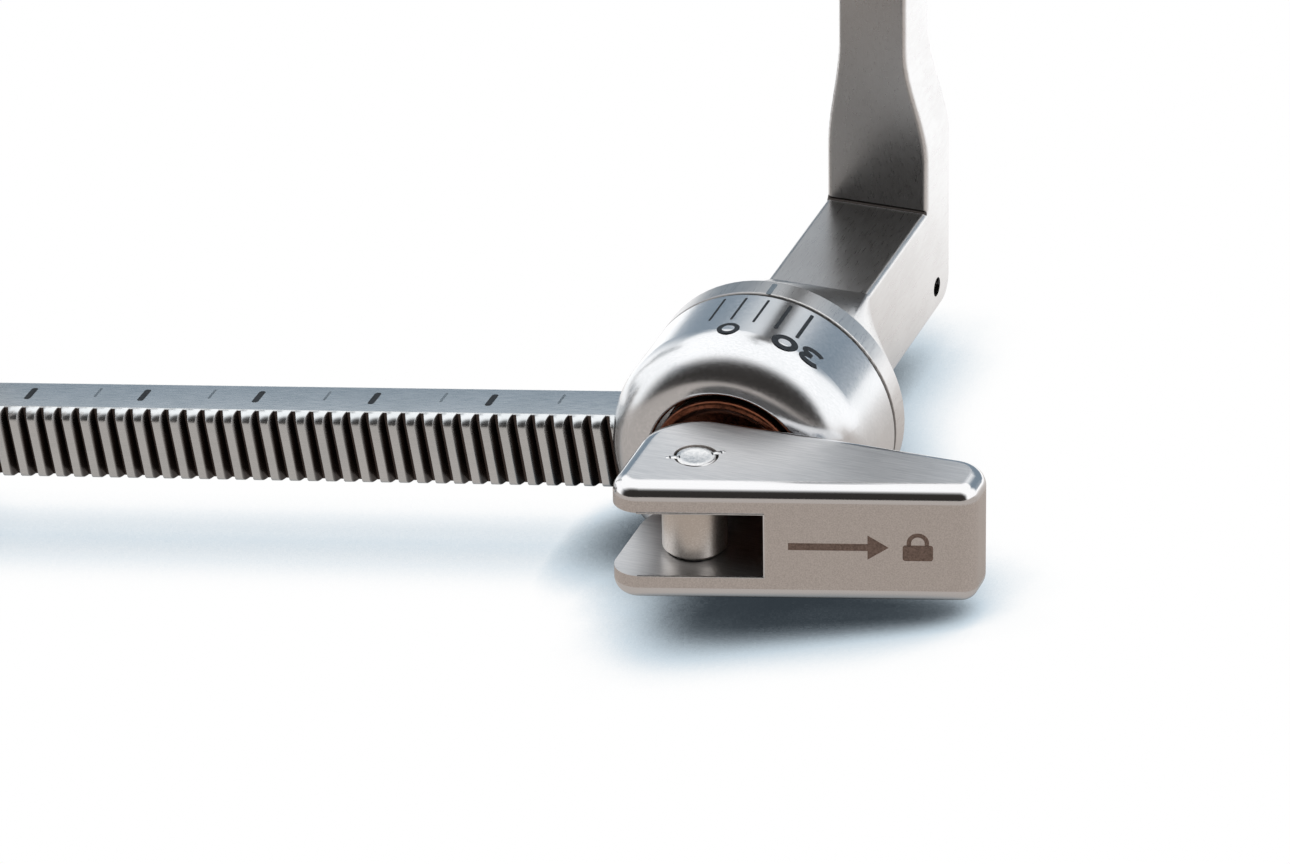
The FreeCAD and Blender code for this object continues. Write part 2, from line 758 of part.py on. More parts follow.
def flanged_bush(inner_z, outer_z):
    """Bronze bush around the pinion's shaft, with its flange towards the gear."""
    direction = 1 if outer_z > inner_z else -1
    bore = shaft_radius + running_gap
    flange_end = inner_z - direction * bush_flange_height
    sleeve = rod(bore + bush_wall, vec(pinion_x, pinion_y, inner_z), vec(pinion_x, pinion_y, outer_z))
    flange = rod(bore + bush_wall + bush_flange, vec(pinion_x, pinion_y, flange_end),
                 vec(pinion_x, pinion_y, inner_z))
    hole = rod(bore, vec(pinion_x, pinion_y, flange_end - direction),
               vec(pinion_x, pinion_y, outer_z + direction))
    return sleeve.fuse(flange).removeSplitter().cut(hole)


def pinion_bushes():
    return Part.makeCompound([flanged_bush(floor_z, -carriage_half_height),
                              flanged_bush(cover_z, carriage_half_height)])


def involute_point(base, radius, turn, side):
    """Point of a tooth flank at the given radius; turn is the flank's angle on the base circle."""
    roll = math.sqrt(max((radius / base) ** 2 - 1, 0))
    angle = turn - side * (roll - math.atan(roll))
    return vec(radius * math.cos(angle), radius * math.sin(angle), 0)


def pinion_outline():
    """Wire of the pinion's teeth, one of them pointing along +X."""
    alpha = math.radians(pressure_angle)
    base = pitch_radius * math.cos(alpha)
    root = pitch_radius - pinion_dedendum
    slope = math.tan(alpha)
    gap_at_pitch = rack_pitch * (1 - rack_tip_share) - 2 * rack_addendum * slope
    thickness = gap_at_pitch - pinion_backlash
    half_at_base = thickness / (2 * pitch_radius) + math.tan(alpha) - alpha
    radii = [base, (base + pitch_radius) / 2, pitch_radius, (pitch_radius + pinion_outer) / 2, pinion_outer]
    step = 2 * math.pi / pinion_teeth
    edges = []
    for i in range(pinion_teeth):
        centre = i * step
        low = [involute_point(base, r, centre - half_at_base, -1) for r in radii]
        high = [involute_point(base, r, centre + half_at_base, 1) for r in reversed(radii)]
        foot_low = vec(root * math.cos(centre - half_at_base), root * math.sin(centre - half_at_base), 0)
        foot_high = vec(root * math.cos(centre + half_at_base), root * math.sin(centre + half_at_base), 0)
        next_foot = centre + step - half_at_base
        rising = Part.BSplineCurve()
        rising.interpolate(low)
        falling = Part.BSplineCurve()
        falling.interpolate(high)
        tip = vec(pinion_outer * math.cos(centre), pinion_outer * math.sin(centre), 0)
        between = centre + step / 2
        floor = vec(root * math.cos(between), root * math.sin(between), 0)
        after = vec(root * math.cos(next_foot), root * math.sin(next_foot), 0)
        edges.append(Part.makeLine(foot_low, low[0]))
        edges.append(rising.toShape())
        edges.append(Part.Arc(low[-1], tip, high[0]).toShape())
        edges.append(falling.toShape())
        edges.append(Part.makeLine(high[-1], foot_high))
        edges.append(Part.Arc(foot_high, floor, after).toShape())
    return Part.Wire(edges)


def drive_pinion():
    """Pinion and its shaft in one piece, meshing with the rack."""
    gear = Part.Face(pinion_outline()).extrude(vec(0, 0, 2 * pinion_half_height))
    gear.translate(vec(0, 0, -pinion_half_height))
    offset = nearest_gap(pinion_x) - pinion_x
    gear.rotate(ORIGIN, AXIS_Z, 90 - math.degrees(offset / pitch_radius))
    bottom = key_bottom() + 0.8
    shaft = eased_rod(shaft_radius, vec(0, 0, bottom), vec(0, 0, carriage_half_height - 0.2), 0.2)
    pin_z = key_pin_z()
    hole = rod(key_pin_radius + fixed_gap, vec(0, -shaft_radius - 1, pin_z), vec(0, shaft_radius + 1, pin_z))
    pinion = gear.fuse(shaft).removeSplitter().cut(hole)
    pinion.translate(vec(pinion_x, pinion_y, 0))
    return pinion


def key_bottom():
    return key_top() - key_height


def key_top():
    return -carriage_half_height - 0.3


def key_pin_z():
    return key_top() - key_height / 2


def turn_key():
    """Butterfly key: a round boss with two wings that widen towards their rounded ends."""
    top = key_top()
    bottom = key_bottom()
    middle = (top + bottom) / 2
    half_waist = key_wing_waist / 2
    half = key_wing_thickness / 2
    reach = key_half_length
    wings = plate_xz([
        (-reach, bottom, 1.8), (-reach * 0.72, bottom, 2.0), (-key_boss_radius, middle - half_waist, 1.0),
        (key_boss_radius, middle - half_waist, 1.0), (reach * 0.72, bottom, 2.0), (reach, bottom, 1.8),
        (reach, top, 1.8), (reach * 0.72, top, 2.0), (key_boss_radius, middle + half_waist, 1.0),
        (-key_boss_radius, middle + half_waist, 1.0), (-reach * 0.72, top, 2.0), (-reach, top, 1.8),
    ], -half, half)
    rims = [e for e in wings.Edges if e.BoundBox.YMax - e.BoundBox.YMin < 0.01]
    wings = wings.makeFillet(0.5, rims)
    boss = eased_rod(key_boss_radius, vec(0, 0, bottom), vec(0, 0, top), 0.3)
    bore = rod(shaft_radius + fixed_gap, vec(0, 0, bottom + 0.75), vec(0, 0, top + 1))
    pin_z = key_pin_z()
    pin_hole = rod(key_pin_radius + fixed_gap, vec(0, -key_boss_radius - 1, pin_z),
                   vec(0, key_boss_radius + 1, pin_z))
    key = boss.fuse(wings).removeSplitter().cut([bore, pin_hole])
    key.translate(vec(pinion_x, pinion_y, 0))
    return key


def key_pin():
    pin_z = key_pin_z()
    y = key_boss_radius - 0.1
    return eased_rod(key_pin_radius, vec(pinion_x, pinion_y - y, pin_z), vec(pinion_x, pinion_y + y, pin_z), 0.1)


def ratchet_pawl():
    """Pawl with one tooth for the rack and a thumb tail, drawn engaged and then swung free."""
    x = pawl_x
    y = pawl_pivot_y
    tip = pawl_nose_depth
    slope = math.tan(math.radians(pawl_nose_slope))
    shoulder = y + 0.4
    rise = tip - shoulder
    half_shoulder = pawl_nose_half + rise * slope
    low = floor_z + side_gap
    high = cover_z - bush_flange_height - side_gap
    arm = plate_xy([
        (x - 1.0, y - 1.2, 0.3), (nose_x + half_shoulder, y - 0.9, 0.6), (nose_x + half_shoulder, shoulder, 0),
        (nose_x + pawl_nose_half, tip, 0.06), (nose_x - pawl_nose_half, tip, 0.06),
        (nose_x - half_shoulder, shoulder, 0.5), (x - 1.0, y + 1.3, 0.3),
    ], low, high)
    boss = rod(pawl_boss, vec(x, y, low), vec(x, y, high))
    tail_half = pawl_tail_height / 2
    length = math.hypot(pawl_tail_x, pawl_tail_y)
    across = vec(pawl_tail_y, -pawl_tail_x, 0) * (pawl_tail_width / 2 / length)
    end = vec(x - pawl_tail_x, y - pawl_tail_y, 0)
    start = vec(x, y, 0)
    corners = [start + across, end + across, end - across, start - across]
    tail = plate_xy([(p.x, p.y, 0) for p in corners], -tail_half, tail_half)
    knob = eased_rod(pawl_knob_radius, vec(end.x, end.y, -tail_half), vec(end.x, end.y, tail_half), 0.3)
    bore = rod(pawl_pin_radius + running_gap, vec(x, y, low - 1), vec(x, y, high + 1))
    pawl = arm.fuse([boss, tail, knob]).removeSplitter().cut(bore)
    pawl.rotate(vec(x, y, 0), AXIS_Z, -pawl_swing)
    return pawl


def pawl_pivot_pin():
    return eased_rod(pawl_pin_radius, vec(pawl_x, pawl_pivot_y, floor_z - 1.35),
                     vec(pawl_x, pawl_pivot_y, cover_z - side_gap), 0.15)


def pawl_spring():
    """Bowed leaf that rests on the pocket's front wall and holds the pawl in either place."""
    wall = pinion_y - pinion_outer + 1.6 + side_gap
    crest = pawl_pivot_y - pawl_boss - 0.2
    left = pocket_left + 1.2
    right = pawl_x + 5.2
    middle = (left + right) / 2
    t = spring_thickness
    outer = Part.Arc(vec(left, wall, 0), vec(middle, crest, 0), vec(right, wall, 0)).toShape()
    inner = Part.Arc(vec(left + t, wall, 0), vec(middle, crest - t, 0), vec(right - t, wall, 0)).toShape()
    ends = [Part.makeLine(vec(left, wall, 0), vec(left + t, wall, 0)),
            Part.makeLine(vec(right, wall, 0), vec(right - t, wall, 0))]
    face = Part.Face(Part.Wire(Part.__sortEdges__([outer, inner] + ends)))
    low = floor_z + side_gap
    leaf = face.extrude(vec(0, 0, 4.0))
    leaf.translate(vec(0, 0, low))
    return leaf


def leaning(shape, sense):
    """Tilts a joint's shape to its rest lean about the hub axis."""
    shape.rotate(ORIGIN, AXIS_Y, sense * tilt_rest)
    return shape


def at_carriage(shape):
    shape.translate(vec(carriage_x, 0, carriage_axis_z))
    return shape


head_drop = carriage_axis_z / math.cos(math.radians(tilt_rest))
left_head = head_bottom - head_drop

nodes = {
    "rack_bar": rack_bar(),
    "fixed_hub": fixed_hub(),
    "hub_thrust_washer": thrust_washer(),
    "rack_end_stop": rack_end_stop(),
    "end_stop_screw": end_stop_screw(),
    "carriage_body": carriage_body(),
    "gearbox_cover": gearbox_cover(),
    "cover_screws": cover_screws(),
    "carriage_thrust_washer": at_carriage(thrust_washer()),
    "pawl_pivot_pin": pawl_pivot_pin(),
    "pawl_spring": pawl_spring(),
    "pinion_bushes": pinion_bushes(),
    "drive_pinion": drive_pinion(),
    "turn_key": turn_key(),
    "key_pin": key_pin(),
    "ratchet_pawl": ratchet_pawl(),
}

# What both joints hold, built upright about the hub axis, then leaned and put in place.
# The left arm, blade and screw are the right ones' mirror images, with a shorter riser.
for side, sense in (("right", 1), ("left", -1)):
    bottom_of_head = head_bottom if side == "right" else left_head
    handed = {
        "tilt_arm": tilt_arm(bottom_of_head),
        "blade": blade(bottom_of_head),
        "blade_screw": blade_screw(bottom_of_head),
    }
    if side == "left":
        handed = {name: mirrored(shape) for name, shape in handed.items()}
    handed["draw_bolt"] = draw_bolt()
    handed["pressure_pad"] = pressure_pad()
    handed["disc_springs"] = disc_springs()
    handed["stop_pin"] = stop_pin()
    handed["cam_lever"] = cam_lever()
    handed["lever_pin"] = lever_pin()
    for name, shape in handed.items():
        placed = leaning(shape, sense)
        if side == "left":
            placed = at_carriage(placed)
        nodes[side + "_" + name] = placed


def report_places(shift):
    """Prints the joint and mount places of the finished model, in metres."""
    lean = math.radians(tilt_rest)
    for side, sense, base in (("right", 1, ORIGIN), ("left", -1, vec(carriage_x, 0, carriage_axis_z))):
        across = vec(math.cos(lean), 0, -sense * math.sin(lean))
        up = vec(sense * math.sin(lean), 0, math.cos(lean))
        hole = vec(0, riser_back - cross_hole_back, 0) + up * (cross_hole_up - bar_half_height)
        for name, place in (("tilt", ORIGIN), ("lever", vec(0, lever_pin_y, 0)), ("cross hole", hole)):
            p = (base + place + shift) * 0.001
            print(side, name, round(p.x, 7), round(p.y, 7), round(p.z, 7))
        print(side, "across", round(across.x, 6), round(across.z, 6), "up", round(up.x, 6), round(up.z, 6))
    for name, place in (("pinion", vec(pinion_x, pinion_y, 0)), ("pawl", vec(pawl_x, pawl_pivot_y, 0)),
                        ("carriage", vec(carriage_x, 0, 0))):
        p = (place + shift) * 0.001
        print(name, round(p.x, 7), round(p.y, 7), round(p.z, 7))


whole = Part.makeCompound(list(nodes.values())).optimalBoundingBox(False)
shift = vec(-(whole.XMin + whole.XMax) / 2, -(whole.YMin + whole.YMax) / 2, -whole.ZMin)
for name, shape in nodes.items():
    shape.translate(shift)
    shape.exportStep("parts/" + name + ".step")
    print(name, len(shape.Solids), shape.isValid(), round(shape.Volume, 2))
print("size", round(whole.XLength, 3), round(whole.YLength, 3), round(whole.ZLength, 3))
print("shift", round(shift.x, 4), round(shift.y, 4), round(shift.z, 4))
report_places(shift)
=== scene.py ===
# %% [markdown]
# # A self retaining retractor in brushed and blasted steel
# This lesson dresses a surgical retractor whose mechanism was drawn in CAD. The CAD parts arrive
# as plain meshes that already lie in their places. Here they get their finishes, the rack's teeth
# are rebuilt with the soft top edge of the real ones, and the marks that a laser or an engraver
# leaves on steel are added as thin pieces of their own.

# %% Load the frame
import bpy
import bmesh
import json
import math
from mathutils import Matrix, Vector


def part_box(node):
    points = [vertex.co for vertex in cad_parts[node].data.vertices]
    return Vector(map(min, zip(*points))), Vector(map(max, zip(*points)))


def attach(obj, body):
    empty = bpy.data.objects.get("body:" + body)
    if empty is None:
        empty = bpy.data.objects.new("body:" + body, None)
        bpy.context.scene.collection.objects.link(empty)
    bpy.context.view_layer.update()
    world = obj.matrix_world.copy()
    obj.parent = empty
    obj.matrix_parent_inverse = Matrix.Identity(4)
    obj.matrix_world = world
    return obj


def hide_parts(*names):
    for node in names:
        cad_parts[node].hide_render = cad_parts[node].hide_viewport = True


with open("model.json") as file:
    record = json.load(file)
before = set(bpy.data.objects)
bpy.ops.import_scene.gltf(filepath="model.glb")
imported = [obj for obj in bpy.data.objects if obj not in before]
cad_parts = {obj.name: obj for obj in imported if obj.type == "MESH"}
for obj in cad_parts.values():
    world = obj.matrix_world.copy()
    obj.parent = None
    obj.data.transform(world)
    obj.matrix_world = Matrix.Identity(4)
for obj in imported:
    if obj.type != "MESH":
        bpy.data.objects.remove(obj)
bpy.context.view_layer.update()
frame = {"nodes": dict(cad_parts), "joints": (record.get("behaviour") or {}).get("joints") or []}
nodes = frame["nodes"]
MM = 0.001

# %% [markdown]
# ## Where the parts are
# Everything is placed from the frame, so nothing has to be fitted by eye. Each joint says where
# its axis lies and which way it points. Both arms lean about the axis of their hub, and the
# lever's joint axis is the direction that is "up" for the arm, so three directions follow from
# it: up, along the hub, and across both.

# %% Points and directions read from the frame
joints = {joint["name"]: joint for joint in frame["joints"]}
hub_axis = Vector(joints["right_tilt"]["pos_m"])
SIDES = ("right", "left")


def joint_point(side, joint):
    return Vector(joints[side + "_" + joint]["pos_m"])


def leaned(side):
    """Matrix from millimetres in the leaned frame of a hub (x across, y along it, z up) to metres."""
    up = Vector(joints[side + "_lever_swing"]["axis"]).normalized()
    along = Vector((0, 1, 0))
    across = along.cross(up)
    turn = Matrix((across, along, up)).transposed().to_4x4()
    return Matrix.Translation(joint_point(side, "tilt")) @ turn @ Matrix.Scale(MM, 4)


LEAN = {side: math.atan2(joints[side + "_lever_swing"]["axis"][0],
                         joints[side + "_lever_swing"]["axis"][2]) for side in SIDES}
print("hub axis at", [round(c / MM, 3) for c in hub_axis], "mm")
print("lean in degrees:", {side: round(math.degrees(LEAN[side]), 2) for side in SIDES})

# %% [markdown]
# ## The camera
# The photograph was taken with a long lens from the front right, a little above the table, and
# the camera was rolled so that the rack lies almost level in the picture. The place is measured
# from the hub's axis. The lens is so long that upright edges stay parallel.

# %% Camera
SENSOR_WIDTH = 36.0
CAMERA_FROM_HUB = Vector((235.75, -528.99, 280.50)) * MM
CAMERA_HEADING = math.radians(24.675)
CAMERA_DOWN = math.radians(25.562)
CAMERA_ROLL = math.radians(-10.312)
CAMERA_LENS = 233.38

camera_data = bpy.data.cameras.new("photo_camera")
camera = bpy.data.objects.new("photo_camera", camera_data)
bpy.context.scene.collection.objects.link(camera)
camera_data.sensor_width = SENSOR_WIDTH
camera_data.lens = CAMERA_LENS
camera_data.clip_start = 0.01
camera_turn = (Matrix.Rotation(CAMERA_HEADING, 4, "Z")
               @ Matrix.Rotation(math.pi / 2 - CAMERA_DOWN, 4, "X")
               @ Matrix.Rotation(CAMERA_ROLL, 4, "Z"))
camera.matrix_world = Matrix.Translation(hub_axis + CAMERA_FROM_HUB) @ camera_turn
bpy.context.scene.camera = camera
print("camera at", [round(c, 4) for c in camera.location])

# %% [markdown]
# ## Colours and nodes
# Colours are written as sRGB hex values, as a paint chart gives them, and Blender's shaders want
# linear light, so one function converts them. Another adds a shader node with its settings and
# inputs in one call, which keeps each material short enough to read. An input that is given a
# socket or a node is linked, and any other is set.
#
# Some nodes have several inputs of one name, so they are given by number. Map Range takes its
# value at 0, the range that it comes from at 1 and 2, and the range that it goes to at 3 and 4.
# Mix takes its factor at 0, two numbers at 2 and 3, and two colours at 6 and 7.

# %% Helpers for materials
MATH = "ShaderNodeMath"
MAP_RANGE = "ShaderNodeMapRange"
MIX = "ShaderNodeMix"
SMOOTH = {"interpolation_type": "SMOOTHSTEP"}
COLOURS = {"data_type": "RGBA"}
NUMBERS = {"data_type": "FLOAT"}
ADD = {"operation": "ADD"}
SUBTRACT = {"operation": "SUBTRACT"}
MULTIPLY = {"operation": "MULTIPLY"}
MINIMUM = {"operation": "MINIMUM"}
MAXIMUM = {"operation": "MAXIMUM"}
ABSOLUTE = {"operation": "ABSOLUTE"}


def linear(code):
    """Linear colour of an sRGB hex value such as #8A8D90."""
    values = [int(code[i:i + 2], 16) / 255 for i in (1, 3, 5)]
    curve = [v / 12.92 if v <= 0.04045 else ((v + 0.055) / 1.055) ** 2.4 for v in values]
    return (*curve, 1.0)


def add_node(tree, kind, settings=None, inputs=None):
    """Adds a node, sets its properties, and sets or links its inputs.
    A node that is given as an input is linked by its first output in use."""
    node = tree.nodes.new(kind)
    for key, value in (settings or {}).items():
        setattr(node, key, value)
    for key, value in (inputs or {}).items():
        if isinstance(value, bpy.types.Node):
            value = next(socket for socket in value.outputs if socket.enabled)
        if isinstance(value, bpy.types.NodeSocket):
            tree.links.new(value, node.inputs[key])
        else:
            node.inputs[key].default_value = value
    return node


def new_material(name):
    """Material with an empty node tree and its output."""
    material = bpy.data.materials.new(name)
    material.use_nodes = True
    material.node_tree.nodes.clear()
    output = add_node(material.node_tree, "ShaderNodeOutputMaterial")
    return material, material.node_tree, output


WHITE = linear("#FFFFFF")

# %% [markdown]
# ## The table
# The instrument lies on white paper under a large soft light. A photographer exposes such a shot
# until the paper is pure white, and only the shadow right under the steel stays. A white paper
# that is lit to exactly white would light the steel too strongly, so the paper's white comes from
# Light Path instead. Its shadow comes from the Ambient Occlusion node, which measures how much of
# the sky above a point of the paper is hidden. That is what a big soft light's shadow is.

# %% Floor
FLOOR_HALF = 1.5
SHADOW_REACH = 11 * MM
SOFTBOX_STRENGTH = 1.4
# Shares of open sky: from the shadow's core to its soft part, and from there to white paper.
CORE_OPENING = {1: 0.46, 2: 0.77}
SOFT_OPENING = {1: 0.74, 2: 0.91}
# Metres behind the rack's front over which the paper turns from dim to bright for the steel.
BEHIND_RACK = {1: -0.01, 2: 0.06}
floor_mesh = bpy.data.meshes.new("floor")
floor_mesh.from_pydata([(-FLOOR_HALF, -FLOOR_HALF, 0), (FLOOR_HALF, -FLOOR_HALF, 0),
                        (FLOOR_HALF, FLOOR_HALF, 0), (-FLOOR_HALF, FLOOR_HALF, 0)], [], [(0, 1, 2, 3)])
floor = bpy.data.objects.new("floor", floor_mesh)
bpy.context.scene.collection.objects.link(floor)
paper, tree, output = new_material("white_paper_sweep")
path = add_node(tree, "ShaderNodeLightPath")
coordinates = add_node(tree, "ShaderNodeTexCoord")
place = add_node(tree, "ShaderNodeSeparateXYZ", inputs={0: coordinates.outputs["Object"]})
# The soft light comes from the right and a little from the front, so the shadow is looked for there.
light_from = add_node(tree, "ShaderNodeCombineXYZ", inputs={0: 0.44, 1: -0.40, 2: 0.80})
sky = add_node(tree, "ShaderNodeAmbientOcclusion", {"samples": 16},
               {"Distance": SHADOW_REACH, "Normal": light_from}).outputs["AO"]
core = add_node(tree, MAP_RANGE, SMOOTH, {0: sky, **CORE_OPENING})
deep_shade = add_node(tree, MIX, COLOURS, {0: core, 6: linear("#32393F"), 7: linear("#CBD9E3")})
soft = add_node(tree, MAP_RANGE, SMOOTH, {0: sky, **SOFT_OPENING})
shade = add_node(tree, MIX, COLOURS, {0: soft, 6: deep_shade, 7: WHITE})
# Steel sees the paper in front of it as a warm grey, because the camera's side of the room is dim.
behind = add_node(tree, MAP_RANGE, SMOOTH, {0: place.outputs["Y"], **BEHIND_RACK})
mirrored = add_node(tree, MIX, COLOURS, {0: behind, 6: linear("#C9C1BB"), 7: WHITE})
mirrored = add_node(tree, MIX, {"data_type": "RGBA", "blend_type": "MULTIPLY"},
                    {0: 1.0, 6: mirrored, 7: shade})
camera_ray = path.outputs["Is Camera Ray"]
seen_colour = add_node(tree, MIX, COLOURS, {0: camera_ray, 6: mirrored, 7: shade})
# The paper behind the instrument lies right under the softbox, so steel mirrors it brighter.
not_camera = add_node(tree, MATH, SUBTRACT, {0: 1.0, 1: camera_ray})
under_softbox = add_node(tree, MATH, MULTIPLY, {0: not_camera, 1: behind})
bright = add_node(tree, MAP_RANGE, None, {0: under_softbox, 3: 1.0, 4: SOFTBOX_STRENGTH})
seen = add_node(tree, "ShaderNodeEmission", inputs={"Color": seen_colour, "Strength": bright})
lit = add_node(tree, "ShaderNodeBsdfDiffuse", inputs={"Color": linear("#E4E2E0")})
direct = add_node(tree, MATH, MAXIMUM, {0: camera_ray, 1: path.outputs["Is Glossy Ray"]})
direct = add_node(tree, MATH, MAXIMUM, {0: direct, 1: path.outputs["Is Transmission Ray"]})
mix = add_node(tree, "ShaderNodeMixShader", inputs={0: direct, 1: lit, 2: seen})
tree.links.new(mix.outputs[0], output.inputs[0])
floor.data.materials.append(paper)
print("floor", 2 * FLOOR_HALF, "m wide, shadows reach", SHADOW_REACH / MM, "mm")

# %% [markdown]
# ## The room
# Polished steel shows the room more than itself. Bright metal looks bright only where a large
# white surface is mirrored in it, and it needs something dark beside that to read as metal. Here
# the ceiling and the right wall are white, the low part of the back wall is a cool grey, and the
# camera's side is dark. The world shader builds that from the direction of the ray. Camera rays
# see plain white.

# %% World
COOL_GREY_WALL = linear("#8C9CAA")
DIM_FRONT = linear("#383533")
# Where each wall begins and is full, as parts of the ray's direction: right is +X, back is +Y, up is +Z.
CEILING = {1: 0.445, 2: 0.61}
RIGHT_WALL = {1: 0.50, 2: 0.74}
LEFT_WALL = {1: -0.50, 2: -0.85}
FRONT_WALL = {1: -0.32, 2: -0.72}
FRONT_CORNER = {1: 0.90, 2: 0.70}
world = bpy.data.worlds.new("white_tent")
bpy.context.scene.world = world
world.use_nodes = True
tree = world.node_tree
tree.nodes.clear()
output = add_node(tree, "ShaderNodeOutputWorld")
path = add_node(tree, "ShaderNodeLightPath")
coordinates = add_node(tree, "ShaderNodeTexCoord")
direction = add_node(tree, "ShaderNodeSeparateXYZ", inputs={0: coordinates.outputs["Generated"]}).outputs
ceiling = add_node(tree, MAP_RANGE, SMOOTH, {0: direction["Z"], **CEILING})
right_wall = add_node(tree, MAP_RANGE, SMOOTH, {0: direction["X"], **RIGHT_WALL})
left_wall = add_node(tree, MAP_RANGE, SMOOTH, {0: direction["X"], **LEFT_WALL})
walls = add_node(tree, MATH, MAXIMUM, {0: right_wall, 1: left_wall})
white_part = add_node(tree, MATH, MAXIMUM, {0: ceiling, 1: walls})
room = add_node(tree, MIX, COLOURS, {0: white_part, 6: COOL_GREY_WALL, 7: WHITE})
front = add_node(tree, MAP_RANGE, SMOOTH, {0: direction["Y"], **FRONT_WALL})
corner = add_node(tree, MAP_RANGE, SMOOTH, {0: direction["X"], **FRONT_CORNER})
front = add_node(tree, MATH, MULTIPLY, {0: front, 1: corner})
room = add_node(tree, MIX, COLOURS, {0: front, 6: room, 7: DIM_FRONT})
lit_part = add_node(tree, MATH, SUBTRACT, {0: white_part, 1: front})
strength = add_node(tree, MAP_RANGE, None, {0: lit_part, 3: 1.0, 4: SOFTBOX_STRENGTH})
lit_room = add_node(tree, "ShaderNodeBackground", inputs={"Color": room, "Strength": strength})
plain_white = add_node(tree, "ShaderNodeBackground", inputs={"Color": WHITE})
mix = add_node(tree, "ShaderNodeMixShader",
               inputs={0: path.outputs["Is Camera Ray"], 1: lit_room, 2: plain_white})
tree.links.new(mix.outputs[0], output.inputs[0])

# %% [markdown]
# ## Lamps
# The walls light the steel, and two large soft lamps add what the paper and the matt faces need.
# The steel mirrors the walls alone, so the lamps are hidden from it and make no hot spots.

# %% Lamps


def area_lamp(name, from_hub, size, power, colour):
    """Rectangular soft lamp at a point measured in metres from the hub, turned towards it."""
    data = bpy.data.lights.new(name, "AREA")
    data.shape = "RECTANGLE"
    data.size, data.size_y = size
    data.energy = power
    data.color = linear(colour)[:3]
    lamp = bpy.data.objects.new(name, data)
    bpy.context.scene.collection.objects.link(lamp)
    lamp.location = hub_axis + Vector(from_hub)
    lamp.rotation_euler = (-Vector(from_hub)).to_track_quat("-Z", "Y").to_euler()
    lamp.visible_glossy = False


area_lamp("overhead_softbox", (0.05, 0.02, 0.60), (0.45, 0.35), 3.0, "#FFFFFF")
area_lamp("right_softbox", (0.55, 0.05, 0.25), (0.30, 0.45), 3.5, "#FFF8F2")
bpy.context.scene.view_settings.view_transform = "Standard"

# %% [markdown]
# ## Steel
# The instrument is one grade of stainless steel with several finishes. A belt or wheel leaves
# fine scratches in one direction, blasting with glass leaves a grey grain with none, and a
# polished edge mirrors the room. All of these are one metal, so one function makes them. It
# stretches a noise along the grain at the size of real scratches, and uses it for colour,
# roughness and a very small bump. Larger soft blotches keep the tone from being even.

# %% Metal finish
BLOTCH_SIZE = 5.0
GRAIN_SHARE = 0.6


def grain_noise(tree, grain, lean=0.0, detail=3.0):
    """Noise stretched to the grain's size in mm along each axis of a part that leans by an angle."""
    coordinates = add_node(tree, "ShaderNodeTexCoord")
    turned = add_node(tree, "ShaderNodeVectorRotate", {"rotation_type": "Y_AXIS"},
                      {"Angle": -lean, "Vector": coordinates.outputs["Object"]})
    scaled = add_node(tree, "ShaderNodeVectorMath", MULTIPLY,
                      {0: turned, 1: tuple(1 / (g * MM) for g in grain)})
    return add_node(tree, "ShaderNodeTexNoise", {"normalize": True},
                    {"Scale": 1.0, "Detail": detail, "Roughness": 0.6, "Vector": scaled})


def metal(name, light, dark, roughness, spread, grain, depth, shade_mask=None, shade_colour=None):
    """Bare metal: two colours, roughness and its spread, grain sizes and depth of the grain in mm.
    The last two arguments give how far a spot is darkened and to which colour,
    as painted shade in gaps and hollows."""
    material, tree, output = new_material(name)
    fine = grain_noise(tree, grain)
    blotches = grain_noise(tree, (BLOTCH_SIZE,) * 3, detail=1.0)
    fine_part = add_node(tree, MATH, MULTIPLY, {0: fine, 1: GRAIN_SHARE})
    blotch_part = add_node(tree, MATH, MULTIPLY, {0: blotches, 1: 1 - GRAIN_SHARE})
    tone = add_node(tree, MATH, ADD, {0: fine_part, 1: blotch_part})
    tone = add_node(tree, MAP_RANGE, SMOOTH, {0: tone, 1: 0.38, 2: 0.62})
    colour = add_node(tree, MIX, COLOURS, {0: tone, 6: linear(dark), 7: linear(light)})
    if shade_mask:
        colour = add_node(tree, MIX, COLOURS, {0: shade_mask(tree), 6: colour, 7: linear(shade_colour)})
    rough = add_node(tree, MAP_RANGE, SMOOTH,
                     {0: fine, 1: 0.3, 2: 0.7, 3: roughness - spread, 4: roughness + spread})
    bump = add_node(tree, "ShaderNodeBump", inputs={"Strength": 1.0, "Distance": depth * MM, "Height": fine})
    shader = add_node(tree, "ShaderNodeBsdfPrincipled",
                      inputs={"Metallic": 1.0, "Base Color": colour, "Roughness": rough, "Normal": bump})
    tree.links.new(shader.outputs[0], output.inputs[0])
    return material


# %% [markdown]
# ## Painted shade in gaps and hollows
# Some places of the steel are darkened in its colour as painted shade. The flanks and roots of the
# rack's teeth lie in the shade of the gaps between them, the hollow under the riser and the faces
# beside it are shaded or mirror dark parts of the room, and the seam beside the hub is a narrow
# shaded gap. Each such place is found from where the surface faces and how far back it lies, as a
# number from 0 to 1 that the metal then mixes in.

# %% Dark places
SEAM_AT = 7.35
SEAM_DARKNESS = 0.72
# How dark the painted shade and painted dark reflection on the arm's bar top and riser front are.
BAR_SHADE = 0.32
RISER_SHADE = 0.42


def surface_parts(tree):
    """Parts X, Y and Z of the direction that the surface faces, in the object's own space."""
    coordinates = add_node(tree, "ShaderNodeTexCoord")
    return add_node(tree, "ShaderNodeSeparateXYZ", inputs={0: coordinates.outputs["Normal"]}).outputs


def depth_from_front(tree):
    """Place along the hub's axis in millimetres behind the rack's front."""
    coordinates = add_node(tree, "ShaderNodeTexCoord")
    place = add_node(tree, "ShaderNodeSeparateXYZ", inputs={0: coordinates.outputs["Object"]})
    metres = add_node(tree, MATH, SUBTRACT, {0: place.outputs["Y"], 1: hub_axis.y})
    return add_node(tree, MATH, MULTIPLY, {0: metres, 1: 1 / MM})


